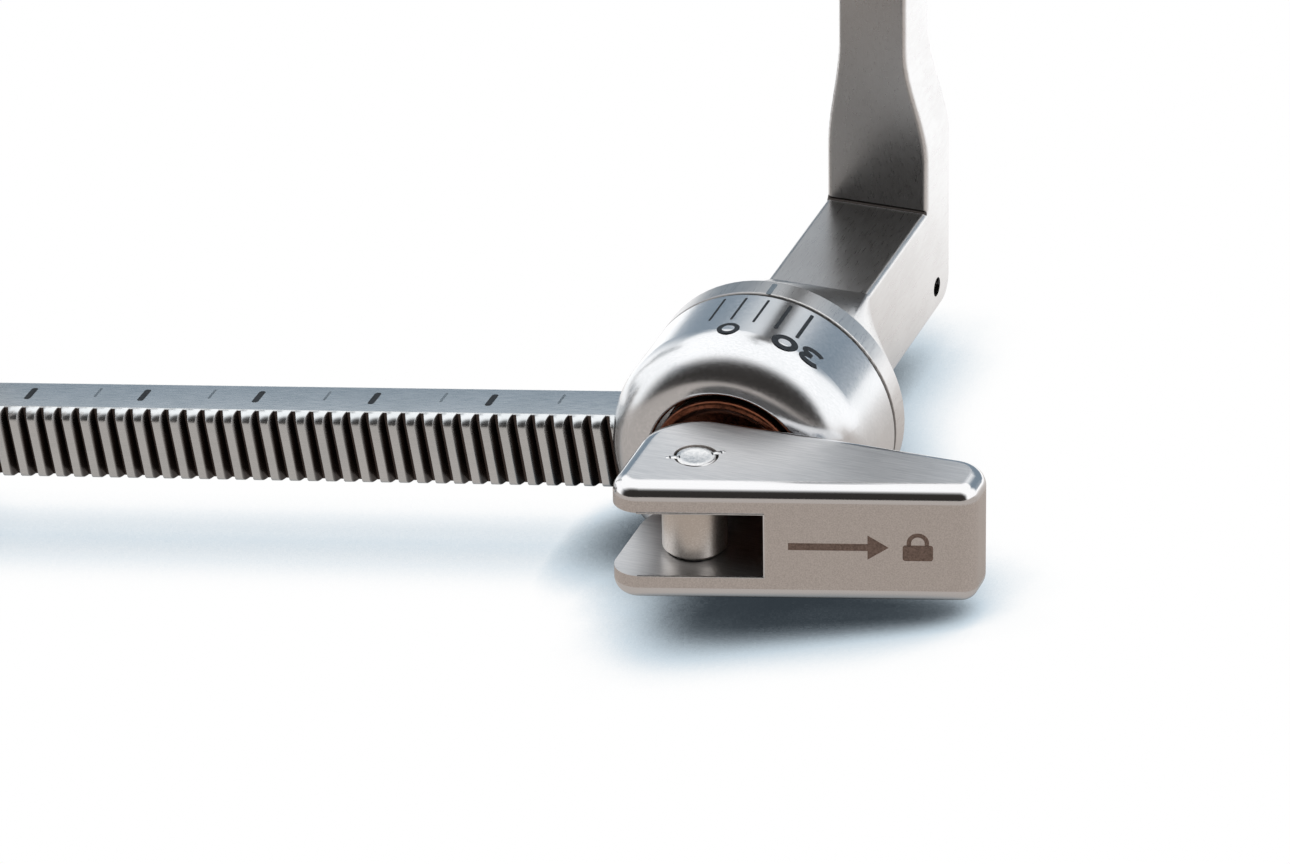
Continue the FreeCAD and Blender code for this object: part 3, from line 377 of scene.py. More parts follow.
def tooth_gap_shade(tree):
    """Painted shade on the flanks and roots of the rack teeth, in the gaps between them."""
    facing = surface_parts(tree)
    sideways = add_node(tree, MATH, ABSOLUTE, {0: facing["X"]})
    flank = add_node(tree, MAP_RANGE, SMOOTH, {0: sideways, 1: 0.55, 2: 0.88})
    deep = add_node(tree, MAP_RANGE, SMOOTH, {0: depth_from_front(tree), 1: 0.60, 2: 0.80})
    frontal = add_node(tree, MAP_RANGE, SMOOTH, {0: facing["Y"], 1: -0.80, 2: -0.98})
    root = add_node(tree, MATH, MULTIPLY, {0: deep, 1: frontal})
    return add_node(tree, MATH, MAXIMUM, {0: flank, 1: root})


def seam_shade(tree):
    """Painted shade along the narrow gap where the hub meets the arm's knuckle."""
    off = add_node(tree, MATH, SUBTRACT, {0: depth_from_front(tree), 1: SEAM_AT})
    off = add_node(tree, MATH, ABSOLUTE, {0: off})
    return add_node(tree, MAP_RANGE, SMOOTH, {0: off, 1: 0.30, 2: 0.16, 4: SEAM_DARKNESS})


def arm_corner_shade(tree):
    """Painted shade in the hollow between the arm's bar and riser, and painted shade and dark reflection on
    the faces beside it.
    """
    facing = surface_parts(tree)
    depth = depth_from_front(tree)
    forwards = add_node(tree, MATH, MULTIPLY, {0: facing["Y"], 1: -1.0})
    both = add_node(tree, MATH, MINIMUM, {0: facing["Z"], 1: forwards})
    hollow = add_node(tree, MAP_RANGE, SMOOTH, {0: both, 1: 0.12, 2: 0.30})
    at_riser = add_node(tree, MAP_RANGE, SMOOTH, {0: depth, 1: 12, 2: 14})
    corner = add_node(tree, MATH, MULTIPLY, {0: hollow, 1: at_riser})
    upwards = add_node(tree, MAP_RANGE, SMOOTH, {0: facing["Z"], 1: 0.60, 2: 0.97})
    along_bar = add_node(tree, MAP_RANGE, SMOOTH,
                         {0: depth, 1: 8.0, 2: 13.0, 3: BAR_SHADE, 4: RISER_SHADE})
    top = add_node(tree, MATH, MULTIPLY, {0: upwards, 1: along_bar})
    frontal = add_node(tree, MAP_RANGE, SMOOTH, {0: facing["Y"], 1: -0.85, 2: -0.97})
    riser_shade_share = add_node(tree, MAP_RANGE, SMOOTH, {0: depth, 1: 12, 2: 14, 4: RISER_SHADE})
    riser = add_node(tree, MATH, MULTIPLY, {0: frontal, 1: riser_shade_share})
    shaded_faces = add_node(tree, MATH, MAXIMUM, {0: top, 1: riser})
    dark = add_node(tree, MATH, MAXIMUM, {0: corner, 1: shaded_faces})
    return add_node(tree, MATH, MAXIMUM, {0: dark, 1: seam_shade(tree)})


# %% Finishes of the plain parts
# Ground along its length: long fine streaks, so the light draws out along the rack.
# Its tooth flanks and roots are darkened to #544C49 as painted shade.
rack_steel = metal("long_ground_stainless_rack", "#D6D9DB", "#CDD1D3", 0.28, 0.03, (1.6, 0.09, 0.09), 0.0002,
                   tooth_gap_shade, "#544C49")
# Turned and then lightly polished: soft, nearly even sheen.
# A narrow band at the seam by the knuckle is darkened to #55595D as painted shade.
hub_steel = metal("satin_turned_stainless_hub", "#DCDDDF", "#D2D4D6", 0.21, 0.03, (0.3, 0.08, 0.3), 0.0003,
                  seam_shade, "#55595D")
# Belt ground along the bar and up the riser.
# The hollow under the riser, the bar's top near it and the riser's front are darkened to #3B3735 as painted
# shade and painted dark reflection.
arm_steel = metal("belt_ground_stainless_arm", "#DBDBDB", "#D3D2D2", 0.30, 0.03, (0.10, 1.6, 0.6), 0.0002,
                  arm_corner_shade, "#3B3735")
# Fine glass blasting: grey, without direction.
blasted_steel = metal("glass_blasted_stainless", "#E4DED8", "#CDC5BD", 0.34, 0.05, (0.12, 0.12, 0.12), 0.002)
# Coarser bead blasting keeps the wet blades from glaring in the surgeon's lamp.
blade_steel = metal("bead_blasted_stainless_blade", "#C4C6C7", "#B0B3B6", 0.50, 0.05,
                    (0.16, 0.16, 0.16), 0.004)
# Ground between two wheels: bright, with hairlines round the pin.
pin_steel = metal("centreless_ground_pin_steel", "#E2E2E2", "#CFD0D1", 0.20, 0.05, (0.3, 0.3, 0.05), 0.0006)
# Turned bronze, its colour darkened to a deep brown as painted shade where it sits out of the light.
bronze = metal("turned_bearing_bronze_with_painted_shade", "#7A4A36", "#4C2E23", 0.32, 0.05, (0.4, 0.08, 0.4), 0.001)
# Cold rolled strip, blued by tempering.
spring_steel = metal("tempered_rolled_spring_steel", "#8E9298", "#6B7078", 0.30, 0.05,
                     (0.8, 0.1, 0.1), 0.0006)

PLAIN_FINISHES = {
    "fixed_hub": hub_steel, "rack_bar": rack_steel, "rack_end_stop": rack_steel,
    "carriage_body": hub_steel, "gearbox_cover": rack_steel,
    "right_tilt_arm": arm_steel, "left_tilt_arm": arm_steel,
    "right_blade": blade_steel, "left_blade": blade_steel,
    "turn_key": blasted_steel, "ratchet_pawl": blasted_steel,
    "right_draw_bolt": blasted_steel, "left_draw_bolt": blasted_steel,
    "pawl_spring": spring_steel, "right_disc_springs": spring_steel, "left_disc_springs": spring_steel,
}
for name, piece in nodes.items():
    bronze_piece = any(word in name for word in ("washer", "pad", "bush"))
    finish = PLAIN_FINISHES.get(name, bronze if bronze_piece else pin_steel)
    for slot in piece.material_slots:
        slot.material = finish
print("finished", len(nodes), "nodes")

# %% A piece that rides on a body


def new_piece(name, mesh, material, body):
    """Links a mesh as a piece that rides on a body, with its material and slot."""
    piece = bpy.data.objects.new(name, mesh)
    bpy.context.scene.collection.objects.link(piece)
    mesh.materials.clear()
    mesh.materials.append(material)
    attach(piece, body)
    return piece


# %% [markdown]
# ## The lever's three finishes
# The cam lever is one solid piece of steel with three finishes on it. Its flat top is brushed,
# its upright sides are blasted, and the rounded edge between them is polished. The finish
# follows from where a face points, so the material compares the surface's own direction with
# the lever's up direction. The comparison turns with the lever, as Texture Coordinate's Normal
# is in the object's own space.

# %% Lever steel


def lever_steel(side):
    """Brushed where it faces along the lever's up direction, blasted where upright, polished between."""
    up = Vector((math.sin(LEAN[side]), 0, math.cos(LEAN[side])))
    material, tree, output = new_material("brushed_blasted_and_polished_stainless_" + side)
    coordinates = add_node(tree, "ShaderNodeTexCoord")
    facing = add_node(tree, "ShaderNodeVectorMath", {"operation": "DOT_PRODUCT"},
                      {0: coordinates.outputs["Normal"], 1: up})
    facing = add_node(tree, MATH, ABSOLUTE, {0: facing.outputs["Value"]})
    flat = add_node(tree, MAP_RANGE, SMOOTH, {0: facing, 1: 0.985, 2: 0.998})
    upright = add_node(tree, MAP_RANGE, SMOOTH, {0: facing, 1: 0.10, 2: 0.02})
    matt = add_node(tree, MATH, MAXIMUM, {0: flat, 1: upright})
    brushed = grain_noise(tree, (2.2, 0.06, 0.3), LEAN[side])
    blasted = grain_noise(tree, (0.10, 0.10, 0.10), LEAN[side], 4.0)
    grain = add_node(tree, MIX, NUMBERS, {0: upright, 2: brushed, 3: blasted})
    brushed_tone = add_node(tree, MAP_RANGE, SMOOTH, {0: brushed, 1: 0.35, 2: 0.65})
    blasted_tone = add_node(tree, MAP_RANGE, SMOOTH, {0: blasted, 1: 0.35, 2: 0.65})
    flat_colour = add_node(tree, MIX, COLOURS,
                           {0: brushed_tone, 6: linear("#C2C3C5"), 7: linear("#D6D6D7")})
    # The blasted sides' warm tint is partly the grey of blasted steel and partly a painted reflection of the
    # warm paper in front.
    blasted_and_reflected_colour = add_node(tree, MIX, COLOURS,
                           {0: blasted_tone, 6: linear("#C0BAB6"), 7: linear("#D5CFCB")})
    colour = add_node(tree, MIX, COLOURS, {0: flat, 6: linear("#D8D8D9"), 7: flat_colour})
    colour = add_node(tree, MIX, COLOURS, {0: upright, 6: colour, 7: blasted_and_reflected_colour})
    rough = add_node(tree, MIX, NUMBERS, {0: matt, 2: 0.12, 3: 0.36})
    spread = add_node(tree, MAP_RANGE, SMOOTH, {0: grain, 1: 0.3, 2: 0.7, 3: -0.04, 4: 0.04})
    spread = add_node(tree, MATH, MULTIPLY, {0: matt, 1: spread})
    rough = add_node(tree, MATH, ADD, {0: rough, 1: spread})
    bump = add_node(tree, "ShaderNodeBump",
                    inputs={"Distance": 0.003 * MM, "Height": grain, "Strength": matt})
    shader = add_node(tree, "ShaderNodeBsdfPrincipled",
                      inputs={"Metallic": 1.0, "Base Color": colour, "Roughness": rough, "Normal": bump})
    tree.links.new(shader.outputs[0], output.inputs[0])
    return material


lever_finishes = {side: lever_steel(side) for side in SIDES}

for side in SIDES:
    for slot in nodes[side + "_cam_lever"].material_slots:
        slot.material = lever_finishes[side]
print("lever finishes:", [m.name for m in lever_finishes.values()])

# %% [markdown]
# ## Marks
# A laser oxidises the steel without removing any, so a mark is a thin dark skin. On the drum and
# the rack it is nearly black, and on the lever's blasted side it turned brown. A mark is made as
# a very thin closed plate that stands a hundredth of a millimetre above the steel, with its
# underside sunk into it, so it never flickers and is a real mesh.

# %% Mark materials


def mark_material(name, light, dark, roughness):
    """Laser mark: matt, not metallic, with the fine mottling of an oxide skin."""
    material, tree, output = new_material(name)
    mottle = grain_noise(tree, (0.15, 0.15, 0.15), detail=4.0)
    mottle = add_node(tree, MAP_RANGE, SMOOTH, {0: mottle, 1: 0.35, 2: 0.65})
    colour = add_node(tree, MIX, COLOURS, {0: mottle, 6: linear(dark), 7: linear(light)})
    shader = add_node(tree, "ShaderNodeBsdfPrincipled",
                      inputs={"Metallic": 0.0, "Roughness": roughness, "Specular IOR Level": 0.15,
                              "Base Color": colour})
    tree.links.new(shader.outputs[0], output.inputs[0])
    return material


black_mark = mark_material("laser_blackened_mark", "#202428", "#14171A", 0.60)
brown_mark = mark_material("laser_browned_mark", "#5E4E46", "#483A33", 0.65)
faint_mark = mark_material("faint_laser_mark", "#525B62", "#434B52", 0.60)
MARK_PROUD = 0.012
MARK_SUNK = 0.03
print("marks stand", MARK_PROUD, "mm above the steel and reach", MARK_SUNK, "mm into it")

# %% From a bmesh to a plain mesh


def as_mesh(solid, name):
    """Plain mesh from a bmesh, which is then freed."""
    result = bpy.data.meshes.new(name)
    solid.to_mesh(result)
    solid.free()
    return result


# %% [markdown]
# ## Rack teeth by Geometry Nodes
# The rack is milled from a bar with a rounded front edge, so each tooth ends at the top in a
# small bright dome with a dark line under it. The dome is what makes the row of pearls along the
# rack. One tooth is drawn as a stack of thin slices from its tip to its root, each slice as tall
# as the rounded edge leaves it. Geometry Nodes then repeats it along the bar, because the
# pitch is exact and one changed number moves them all.

# %% Rack sizes
RACK_PITCH = math.pi / 2
FIRST_GAP = -10.57
TOOTH_DEPTH = 0.9
TIP_HALF = 0.314
FLANK_SLOPE = math.tan(math.radians(20))
RACK_DEPTH = 5.2
RACK_HALF_HEIGHT = 3.0
TOP_ROUNDING = 1.0
BOTTOM_ROUNDING = 0.55
TIP_ROUNDING = 0.07
CORNER_CUT = 0.06
PLAIN_LEFT_END = 6.0
rack_low, rack_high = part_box("rack_bar")
rack_left = (rack_low.x - hub_axis.x) / MM
rack_right = (rack_high.x - hub_axis.x) / MM
gap_count = int((FIRST_GAP - rack_left - PLAIN_LEFT_END) / RACK_PITCH) + 1
print("rack from", round(rack_left, 2), "to", round(rack_right, 2), "mm with", gap_count, "gaps")


def fall(y, radius):
    """How far a rounded edge of a radius draws in from its side at a depth y behind its front."""
    return radius - math.sqrt(max(radius ** 2 - max(radius - y, 0) ** 2, 0))


def rack_slice(y):
    """Lowest and highest point of the rack at a depth behind the tooth tips."""
    return -RACK_HALF_HEIGHT + fall(y, BOTTOM_ROUNDING), RACK_HALF_HEIGHT - fall(y, TOP_ROUNDING)


def sliced_block(left, right):
    """Closed block through slices with cut corners; left and right give its ends at each depth."""
    mesh = bmesh.new()
    rings = []
    for y in DEPTHS:
        low, high = rack_slice(y)
        x0, x1 = left(y), right(y)
        c = min(CORNER_CUT, (x1 - x0) * 0.3)
        corners = [(x0 + c, low), (x1 - c, low), (x1, low + c), (x1, high - c),
                   (x1 - c, high), (x0 + c, high), (x0, high - c), (x0, low + c)]
        rings.append([mesh.verts.new((x, y, z)) for x, z in corners])
    for near, far in zip(rings, rings[1:]):
        for i in range(8):
            j = (i + 1) % 8
            mesh.faces.new((near[i], near[j], far[j], far[i]))
    mesh.faces.new(reversed(rings[0]))
    mesh.faces.new(rings[-1])
    bmesh.ops.recalc_face_normals(mesh, faces=mesh.faces)
    for face in mesh.faces:
        face.smooth = True
    return mesh


# The slices lie at even angles of the top edge's rounding. The last one is sunk a little in the spine.
ROUNDING_DEPTHS = [TOP_ROUNDING * (1 - math.cos(math.radians(a))) for a in range(0, 91, 8)]
DEPTHS = [y for y in ROUNDING_DEPTHS if y < TOOTH_DEPTH] + [TOOTH_DEPTH + 0.02]


def tooth_half(y):
    """Half the width of a tooth at a depth behind its tip."""
    return TIP_HALF + y * FLANK_SLOPE - fall(y, TIP_ROUNDING)


def tooth_mesh():
    """One tooth, from its tip to its root."""
    result = as_mesh(sliced_block(lambda y: -tooth_half(y), tooth_half), "one_tooth")
    result.set_sharp_from_angle(angle=math.radians(60))
    return result


# %% Rack teeth tree


def start_tree(name, sizes):
    """Empty node tree with a piece, its count, its sizes and its finish as inputs, and its input node."""
    tree = bpy.data.node_groups.new(name, "GeometryNodeTree")
    inputs = {"Piece": "Object", "Count": "Int", **sizes, "Finish": "Material"}
    for label, kind in inputs.items():
        tree.interface.new_socket(label, in_out="INPUT", socket_type="NodeSocket" + kind)
    tree.interface.new_socket("Geometry", in_out="OUTPUT", socket_type="NodeSocketGeometry")
    return tree, add_node(tree, "NodeGroupInput")


def finish_tree(tree, given, placing):
    """Puts the piece on points, makes the copies real and gives them the finish."""
    source = add_node(tree, "GeometryNodeObjectInfo", {"transform_space": "ORIGINAL"},
                      {"Object": given.outputs["Piece"]})
    placed = add_node(tree, "GeometryNodeInstanceOnPoints",
                      inputs={**placing, "Instance": source.outputs["Geometry"]})
    real = add_node(tree, "GeometryNodeRealizeInstances", inputs={0: placed})
    painted = add_node(tree, "GeometryNodeSetMaterial",
                       inputs={"Geometry": real, "Material": given.outputs["Finish"]})
    add_node(tree, "NodeGroupOutput", inputs={0: painted})


def apply_tree(name, tree, values):
    """Runs a node tree on an empty mesh and returns the result as a plain mesh."""
    maker = bpy.data.objects.new(name + "_maker", bpy.data.meshes.new(name + "_maker"))
    bpy.context.scene.collection.objects.link(maker)
    modifier = maker.modifiers.new(name, "NODES")
    modifier.node_group = tree
    for item in tree.interface.items_tree:
        if item.item_type == "SOCKET" and item.in_out == "INPUT" and item.name in values:
            modifier[item.identifier] = values[item.name]
    evaluated = maker.evaluated_get(bpy.context.evaluated_depsgraph_get())
    mesh = bpy.data.meshes.new_from_object(evaluated)
    bpy.data.objects.remove(maker)
    return mesh


def repeat_tree(name):
    """Tree that repeats one object along a straight line."""
    tree, given = start_tree(name, {"Start": "Vector", "Step": "Vector"})
    line = add_node(tree, "GeometryNodeMeshLine", {"mode": "OFFSET"},
                    {"Count": given.outputs["Count"], "Start Location": given.outputs["Start"],
                     "Offset": given.outputs["Step"]})
    finish_tree(tree, given, {"Points": line})
    return tree


rack_place = Matrix.Translation(hub_axis) @ Matrix.Scale(MM, 4)
one_tooth = bpy.data.objects.new("one_tooth", tooth_mesh())
teeth_mesh = apply_tree("rack_teeth", repeat_tree("teeth_along_the_bar"), {
    "Piece": one_tooth, "Count": gap_count - 1, "Start": (FIRST_GAP - RACK_PITCH / 2, 0, 0),
    "Step": (-RACK_PITCH, 0, 0), "Finish": rack_steel})
teeth_mesh.transform(rack_place)
new_piece("rack_teeth", teeth_mesh, rack_steel, "rack_frame")
bpy.data.objects.remove(one_tooth)
print("teeth:", gap_count - 1, "faces:", len(teeth_mesh.polygons))

# %% [markdown]
# ## Rack spine
# Behind the teeth the bar is plain. The spine is drawn as one closed outline, seen from the end,
# that runs the whole length, and a block with the teeth's own rounding closes each end.

# %% Rack spine
BACK_ROUNDING = 0.3
FRONT_CUT = 0.08


def spine_section():
    """Outline of the bar behind the teeth, seen along it, with its back edges rounded."""
    turns = [math.radians(18 * step) for step in range(6)]
    back = [(RACK_DEPTH - BACK_ROUNDING * (1 - math.sin(a)),
             RACK_HALF_HEIGHT - BACK_ROUNDING * (1 - math.cos(a))) for a in turns]
    lower_front = [(TOOTH_DEPTH, rack_slice(TOOTH_DEPTH)[0])]
    upper_front = [(TOOTH_DEPTH + FRONT_CUT, RACK_HALF_HEIGHT), (TOOTH_DEPTH, RACK_HALF_HEIGHT - FRONT_CUT)]
    return lower_front + [(y, -z) for y, z in back] + back[::-1] + upper_front


def extruded(section, left, right):
    """Closed prism of a (y, z) outline between two x values."""
    mesh = bmesh.new()
    ends = [[mesh.verts.new((x, y, z)) for y, z in section] for x in (left, right)]
    for i in range(len(section)):
        j = (i + 1) % len(section)
        mesh.faces.new((ends[0][i], ends[0][j], ends[1][j], ends[1][i]))
    mesh.faces.new(ends[0])
    mesh.faces.new(reversed(ends[1]))
    bmesh.ops.recalc_face_normals(mesh, faces=mesh.faces)
    return mesh


def joined(meshes, name, place):
    """One mesh from several bmesh pieces, put in place."""
    whole = bmesh.new()
    for mesh in meshes:
        part = as_mesh(mesh, "part")
        whole.from_mesh(part)
        bpy.data.meshes.remove(part)
    for face in whole.faces:
        face.smooth = True
    result = as_mesh(whole, name)
    result.transform(place)
    result.set_sharp_from_angle(angle=math.radians(30))
    return result


# Each end block's flank is that of the tooth that would stand there.
left_end_tooth = FIRST_GAP - (gap_count - 0.5) * RACK_PITCH
right_end_tooth = FIRST_GAP + RACK_PITCH / 2
end_blocks = [
    sliced_block(lambda y: rack_left, lambda y: left_end_tooth + tooth_half(y)),
    sliced_block(lambda y: right_end_tooth - tooth_half(y), lambda y: rack_right),
]
spine = joined([extruded(spine_section(), rack_left, rack_right)] + end_blocks, "rack_spine", rack_place)
spine_piece = new_piece("rack_spine", spine, rack_steel, "rack_frame")
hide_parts("rack_bar")
print("spine faces:", len(spine.polygons))

# %% [markdown]
# ## Graduation on the rack
# A long mark stands every ten millimetres on the rack's top, with a faint one about midway. They
# lie across the bar near its back edge. The same tree that repeats the teeth repeats one thin
# plate.

# %% Rack graduation
MARK_STEP = 10.0
FIRST_TEN = -21.2
FIRST_MIDWAY = -15.4
UNMARKED_LEFT_END = 4.0


def plate(corners):
    """Thin closed plate under a flat outline of (x, y) corners."""
    mesh = bmesh.new()
    tops = [mesh.verts.new((x, y, MARK_PROUD)) for x, y in corners]
    bottoms = [mesh.verts.new((x, y, -MARK_SUNK)) for x, y in corners]
    mesh.faces.new(tops)
    mesh.faces.new(reversed(bottoms))
    for i in range(len(corners)):
        j = (i + 1) % len(corners)
        mesh.faces.new((tops[i], bottoms[i], bottoms[j], tops[j]))
    bmesh.ops.recalc_face_normals(mesh, faces=mesh.faces)
    return mesh


def bar_corners(width, length):
    """Corners of a slim bar with clipped ends, centred on the origin."""
    w, h, c = width / 2, length / 2, width / 4
    return [(-w, c - h), (c - w, -h), (w - c, -h), (w, c - h),
            (w, h - c), (w - c, h), (c - w, h), (-w, h - c)]


def graduation(name, start, y, width, length, count, material):
    """Row of marks across the rack's top; y is their middle behind the tooth tips."""
    piece = bpy.data.objects.new(name + "_one", as_mesh(plate(bar_corners(width, length)), name + "_one"))
    mesh = apply_tree(name, repeat_tree(name + "_tree"), {
        "Piece": piece, "Count": count, "Start": (start, y, RACK_HALF_HEIGHT),
        "Step": (-MARK_STEP, 0, 0), "Finish": material})
    bpy.data.objects.remove(piece)
    mesh.transform(rack_place)
    new_piece(name, mesh, material, "rack_frame")


mark_count = int((FIRST_TEN - rack_left - UNMARKED_LEFT_END) / MARK_STEP) + 1
graduation("rack_ten_millimetre_marks", FIRST_TEN, 3.15, 0.55, 1.9, mark_count, black_mark)
graduation("rack_midway_marks", FIRST_MIDWAY, 3.5, 0.2, 1.5, mark_count + 1, faint_mark)
print("rack marks:", 2 * mark_count + 1)

# %% [markdown]
# ## Tilt scale on the hubs
# Each hub carries a tilt scale, one line for every ten degrees, and the knuckle of its arm
# carries the index line that runs along it. The lines are repeated by a tree that turns one
# plate about the hub's axis. The numbers are drawn as ribbons round simple curves and then
# wrapped on the drum, as text objects would bring a printer's typeface where an engraver uses a
# plain round one.

# %% Scale lines
HUB_RADIUS = 10.4
SCALE_ZERO = 1.2
SCALE_STEP = 10.0
SCALE_MIDDLE = 4.75
HUB_BODY = {"right": "rack_frame", "left": "carriage"}
SENSE = {"right": 1, "left": -1}


def turning_tree(name):
    """Tree that repeats one object about the Y axis, a fixed angle apart."""
    tree, given = start_tree(name, {"First angle": "Float", "Angle step": "Float"})
    points = add_node(tree, "GeometryNodeMeshLine", {"mode": "OFFSET"},
                      {"Offset": (0, 0, 0), "Count": given.outputs["Count"]})
    index = add_node(tree, "GeometryNodeInputIndex")
    angle = add_node(tree, MATH, MULTIPLY, {0: index, 1: given.outputs["Angle step"]})
    angle = add_node(tree, MATH, ADD, {0: angle, 1: given.outputs["First angle"]})
    turn = add_node(tree, "ShaderNodeCombineXYZ", inputs={"Y": angle})
    rotation = add_node(tree, "FunctionNodeEulerToRotation", inputs={0: turn})
    finish_tree(tree, given, {"Points": points, "Rotation": rotation})
    return tree


def hub_place(side):
    """Matrix from millimetres about a hub's axis, not leaned, to metres."""
    return Matrix.Translation(joint_point(side, "tilt")) @ Matrix.Scale(MM, 4)


def scale_lines(side, name, first, count, width, length):
    """Lines on the drum; angles run from the top towards the side that the arm leans to."""
    mesh = as_mesh(plate(bar_corners(width, length)), name)
    mesh.transform(Matrix.Translation((0, SCALE_MIDDLE, HUB_RADIUS)))
    piece = bpy.data.objects.new(name + "_one", mesh)
    sense = SENSE[side]
    result = apply_tree(name, turning_tree(name + "_tree"), {
        "Piece": piece, "Count": count, "First angle": sense * math.radians(first),
        "Angle step": sense * math.radians(SCALE_STEP), "Finish": black_mark})
    bpy.data.objects.remove(piece)
    result.transform(hub_place(side))
    new_piece(side + "_" + name, result, black_mark, HUB_BODY[side])


# The lines for twenty and thirty degrees are cut a little heavier than the three before them.
for side in SIDES:
    scale_lines(side, "tilt_scale_lines", SCALE_ZERO - SCALE_STEP, 3, 0.2, 3.7)
    scale_lines(side, "tilt_scale_twenty_and_thirty", SCALE_ZERO + 2 * SCALE_STEP, 2, 0.3, 3.8)
print("scale lines every", SCALE_STEP, "degrees")

# %% Numbers wrapped on the drum
RING_STEPS = 40


def ring_ribbon(width, height, stroke):
    """Outer and inner loop of a round nought, a little thinner at its ends than at its sides."""
    turns = [2 * math.pi * i / RING_STEPS for i in range(RING_STEPS)]
    loops = []
    for inset in (0, stroke):
        a, b = width / 2 - inset, height / 2 - inset * 0.9
        loops.append([(a * math.cos(t), b * math.sin(t)) for t in turns])
    return loops


def path_ribbon(points, stroke):
    """Left and right side of a stroke along points."""
    left, right = [], []
    for i, (x, y) in enumerate(points):
        before = points[max(i - 1, 0)]
        after = points[min(i + 1, len(points) - 1)]
        dx, dy = after[0] - before[0], after[1] - before[1]
        size = math.hypot(dx, dy)
        nx, ny = -dy / size * stroke / 2, dx / size * stroke / 2
        left.append((x + nx, y + ny))
        right.append((x - nx, y - ny))
    return left, right


def ribbon_solid(mesh, one, other, closed, wrap):
    """Closed thin ribbon between two lines of points, through the wrap function."""
    count = len(one)
    rings = []
    for i in range(count):
        rings.append([mesh.verts.new(wrap(*one[i], MARK_PROUD)), mesh.verts.new(wrap(*other[i], MARK_PROUD)),
                      mesh.verts.new(wrap(*other[i], -MARK_SUNK)), mesh.verts.new(wrap(*one[i], -MARK_SUNK))])
    for i in range(count if closed else count - 1):
        near, far = rings[i], rings[(i + 1) % count]
        for k in range(4):
            m = (k + 1) % 4
            mesh.faces.new((near[k], near[m], far[m], far[k]))
    if not closed:
        mesh.faces.new(reversed(rings[0]))
        mesh.faces.new(rings[-1])


def three_points(width, height):
    """Middle line of a 3, from its upper left end round both bowls."""
    points = []
    for centre, first, last in ((0.25, 150, -80), (-0.25, 80, -150)):
        for i in range(15):
            a = math.radians(first + (last - first) * i / 14)
            points.append((width * 0.40 * math.cos(a), height * (centre + 0.21 * math.sin(a))))
    return points


def round_drum(middle, place):
    """Function that wraps flat points (a, b) round the drum, about an angle and a place along it."""
    def wrap(a, b, out):
        turn = middle - a / HUB_RADIUS
        reach = HUB_RADIUS + out
        return reach * math.sin(turn), place - b, reach * math.cos(turn)
    return wrap


def number_piece(side, name, digits):
    """Digits on the drum: kind, angle, place along the hub, width, height and stroke in mm."""
    mesh = bmesh.new()
    for kind, angle, place, width, height, stroke in digits:
        wrap = round_drum(SENSE[side] * math.radians(angle), place)
        if kind == "0":
            outer, inner = ring_ribbon(width, height, stroke)
            ribbon_solid(mesh, outer, inner, True, wrap)
        else:
            left, right = path_ribbon(three_points(width, height), stroke)
            ribbon_solid(mesh, left, right, False, wrap)
    bmesh.ops.recalc_face_normals(mesh, faces=mesh.faces)
    result = as_mesh(mesh, name)
    result.transform(hub_place(side))
    new_piece(side + "_" + name, result, black_mark, HUB_BODY[side])


# The scale is mirrored on the left hub, but its numbers still read the same way round.
for side in SIDES:
    outer_digit, inner_digit = ("3", "0") if side == "right" else ("0", "3")
    number_piece(side, "tilt_numbers", [
        ("0", 2.8, 1.45, 1.8, 1.75, 0.40),
        (inner_digit, 28.3, 1.55, 2.2, 1.9, 0.56),
        (outer_digit, 41.3, 1.75, 2.0, 1.75, 0.46),
    ])
print("numbers on", len(SIDES), "hubs")

# %% Index line on each arm's knuckle
INDEX_WIDTH = 0.42
INDEX_LENGTH = 1.75
INDEX_MIDDLE = 8.4

for side in SIDES:
    mesh = as_mesh(plate(bar_corners(INDEX_WIDTH, INDEX_LENGTH)), "index")
    mesh.transform(Matrix.Translation((0, INDEX_MIDDLE, HUB_RADIUS)))
    mesh.transform(leaned(side))
    new_piece(side + "_index_line", mesh, faint_mark, side + "_arm")
print("index lines", INDEX_LENGTH, "mm long")

# %% [markdown]
# ## Staked lever pins
# The lever turns on a short pin that is held by staking: a punch is struck on its rim in two
# places, and the bulge there locks it in the lever. The head is a shallow polished disc. It is
# spun from a profile, and each stake is a small dented blob of displaced steel with a dark nick,
# which is a pebble of painted shade where the punch's dent lies in shade.

# %% Lever pins
PIN_RADIUS = 1.62
LEVER_HALF = 5.0
STAKE_ANGLES = (35.0, 205.0)
# Each pebble: distance from the pin's axis, depth under the lever's top, half sizes outwards, round and up.
STAKES = ((1.66, 0.03, (0.34, 0.26, 0.08)), (2.16, 0.02, (0.18, 0.20, 0.05)))
# The nicks are dark pebbles of painted shade, set where the punch's dents lie in shade.
NICK_SHADES = ((1.28, 0.05, (0.10, 0.34, 0.06)), (1.98, 0.03, (0.11, 0.30, 0.05)))


def spun(profile):
    """Closed solid from (radius, z) points turned about Z; it starts and ends on the axis."""
    mesh = bmesh.new()
    verts = [mesh.verts.new((r, 0, z)) for r, z in profile]
    edges = [mesh.edges.new(pair) for pair in zip(verts, verts[1:])]
    bmesh.ops.spin(mesh, geom=verts + edges, cent=(0, 0, 0), axis=(0, 0, 1), angle=2 * math.pi,
                   steps=64, use_merge=True)
    bmesh.ops.remove_doubles(mesh, verts=mesh.verts, dist=1e-5)
    bmesh.ops.recalc_face_normals(mesh, faces=mesh.faces)
    return mesh


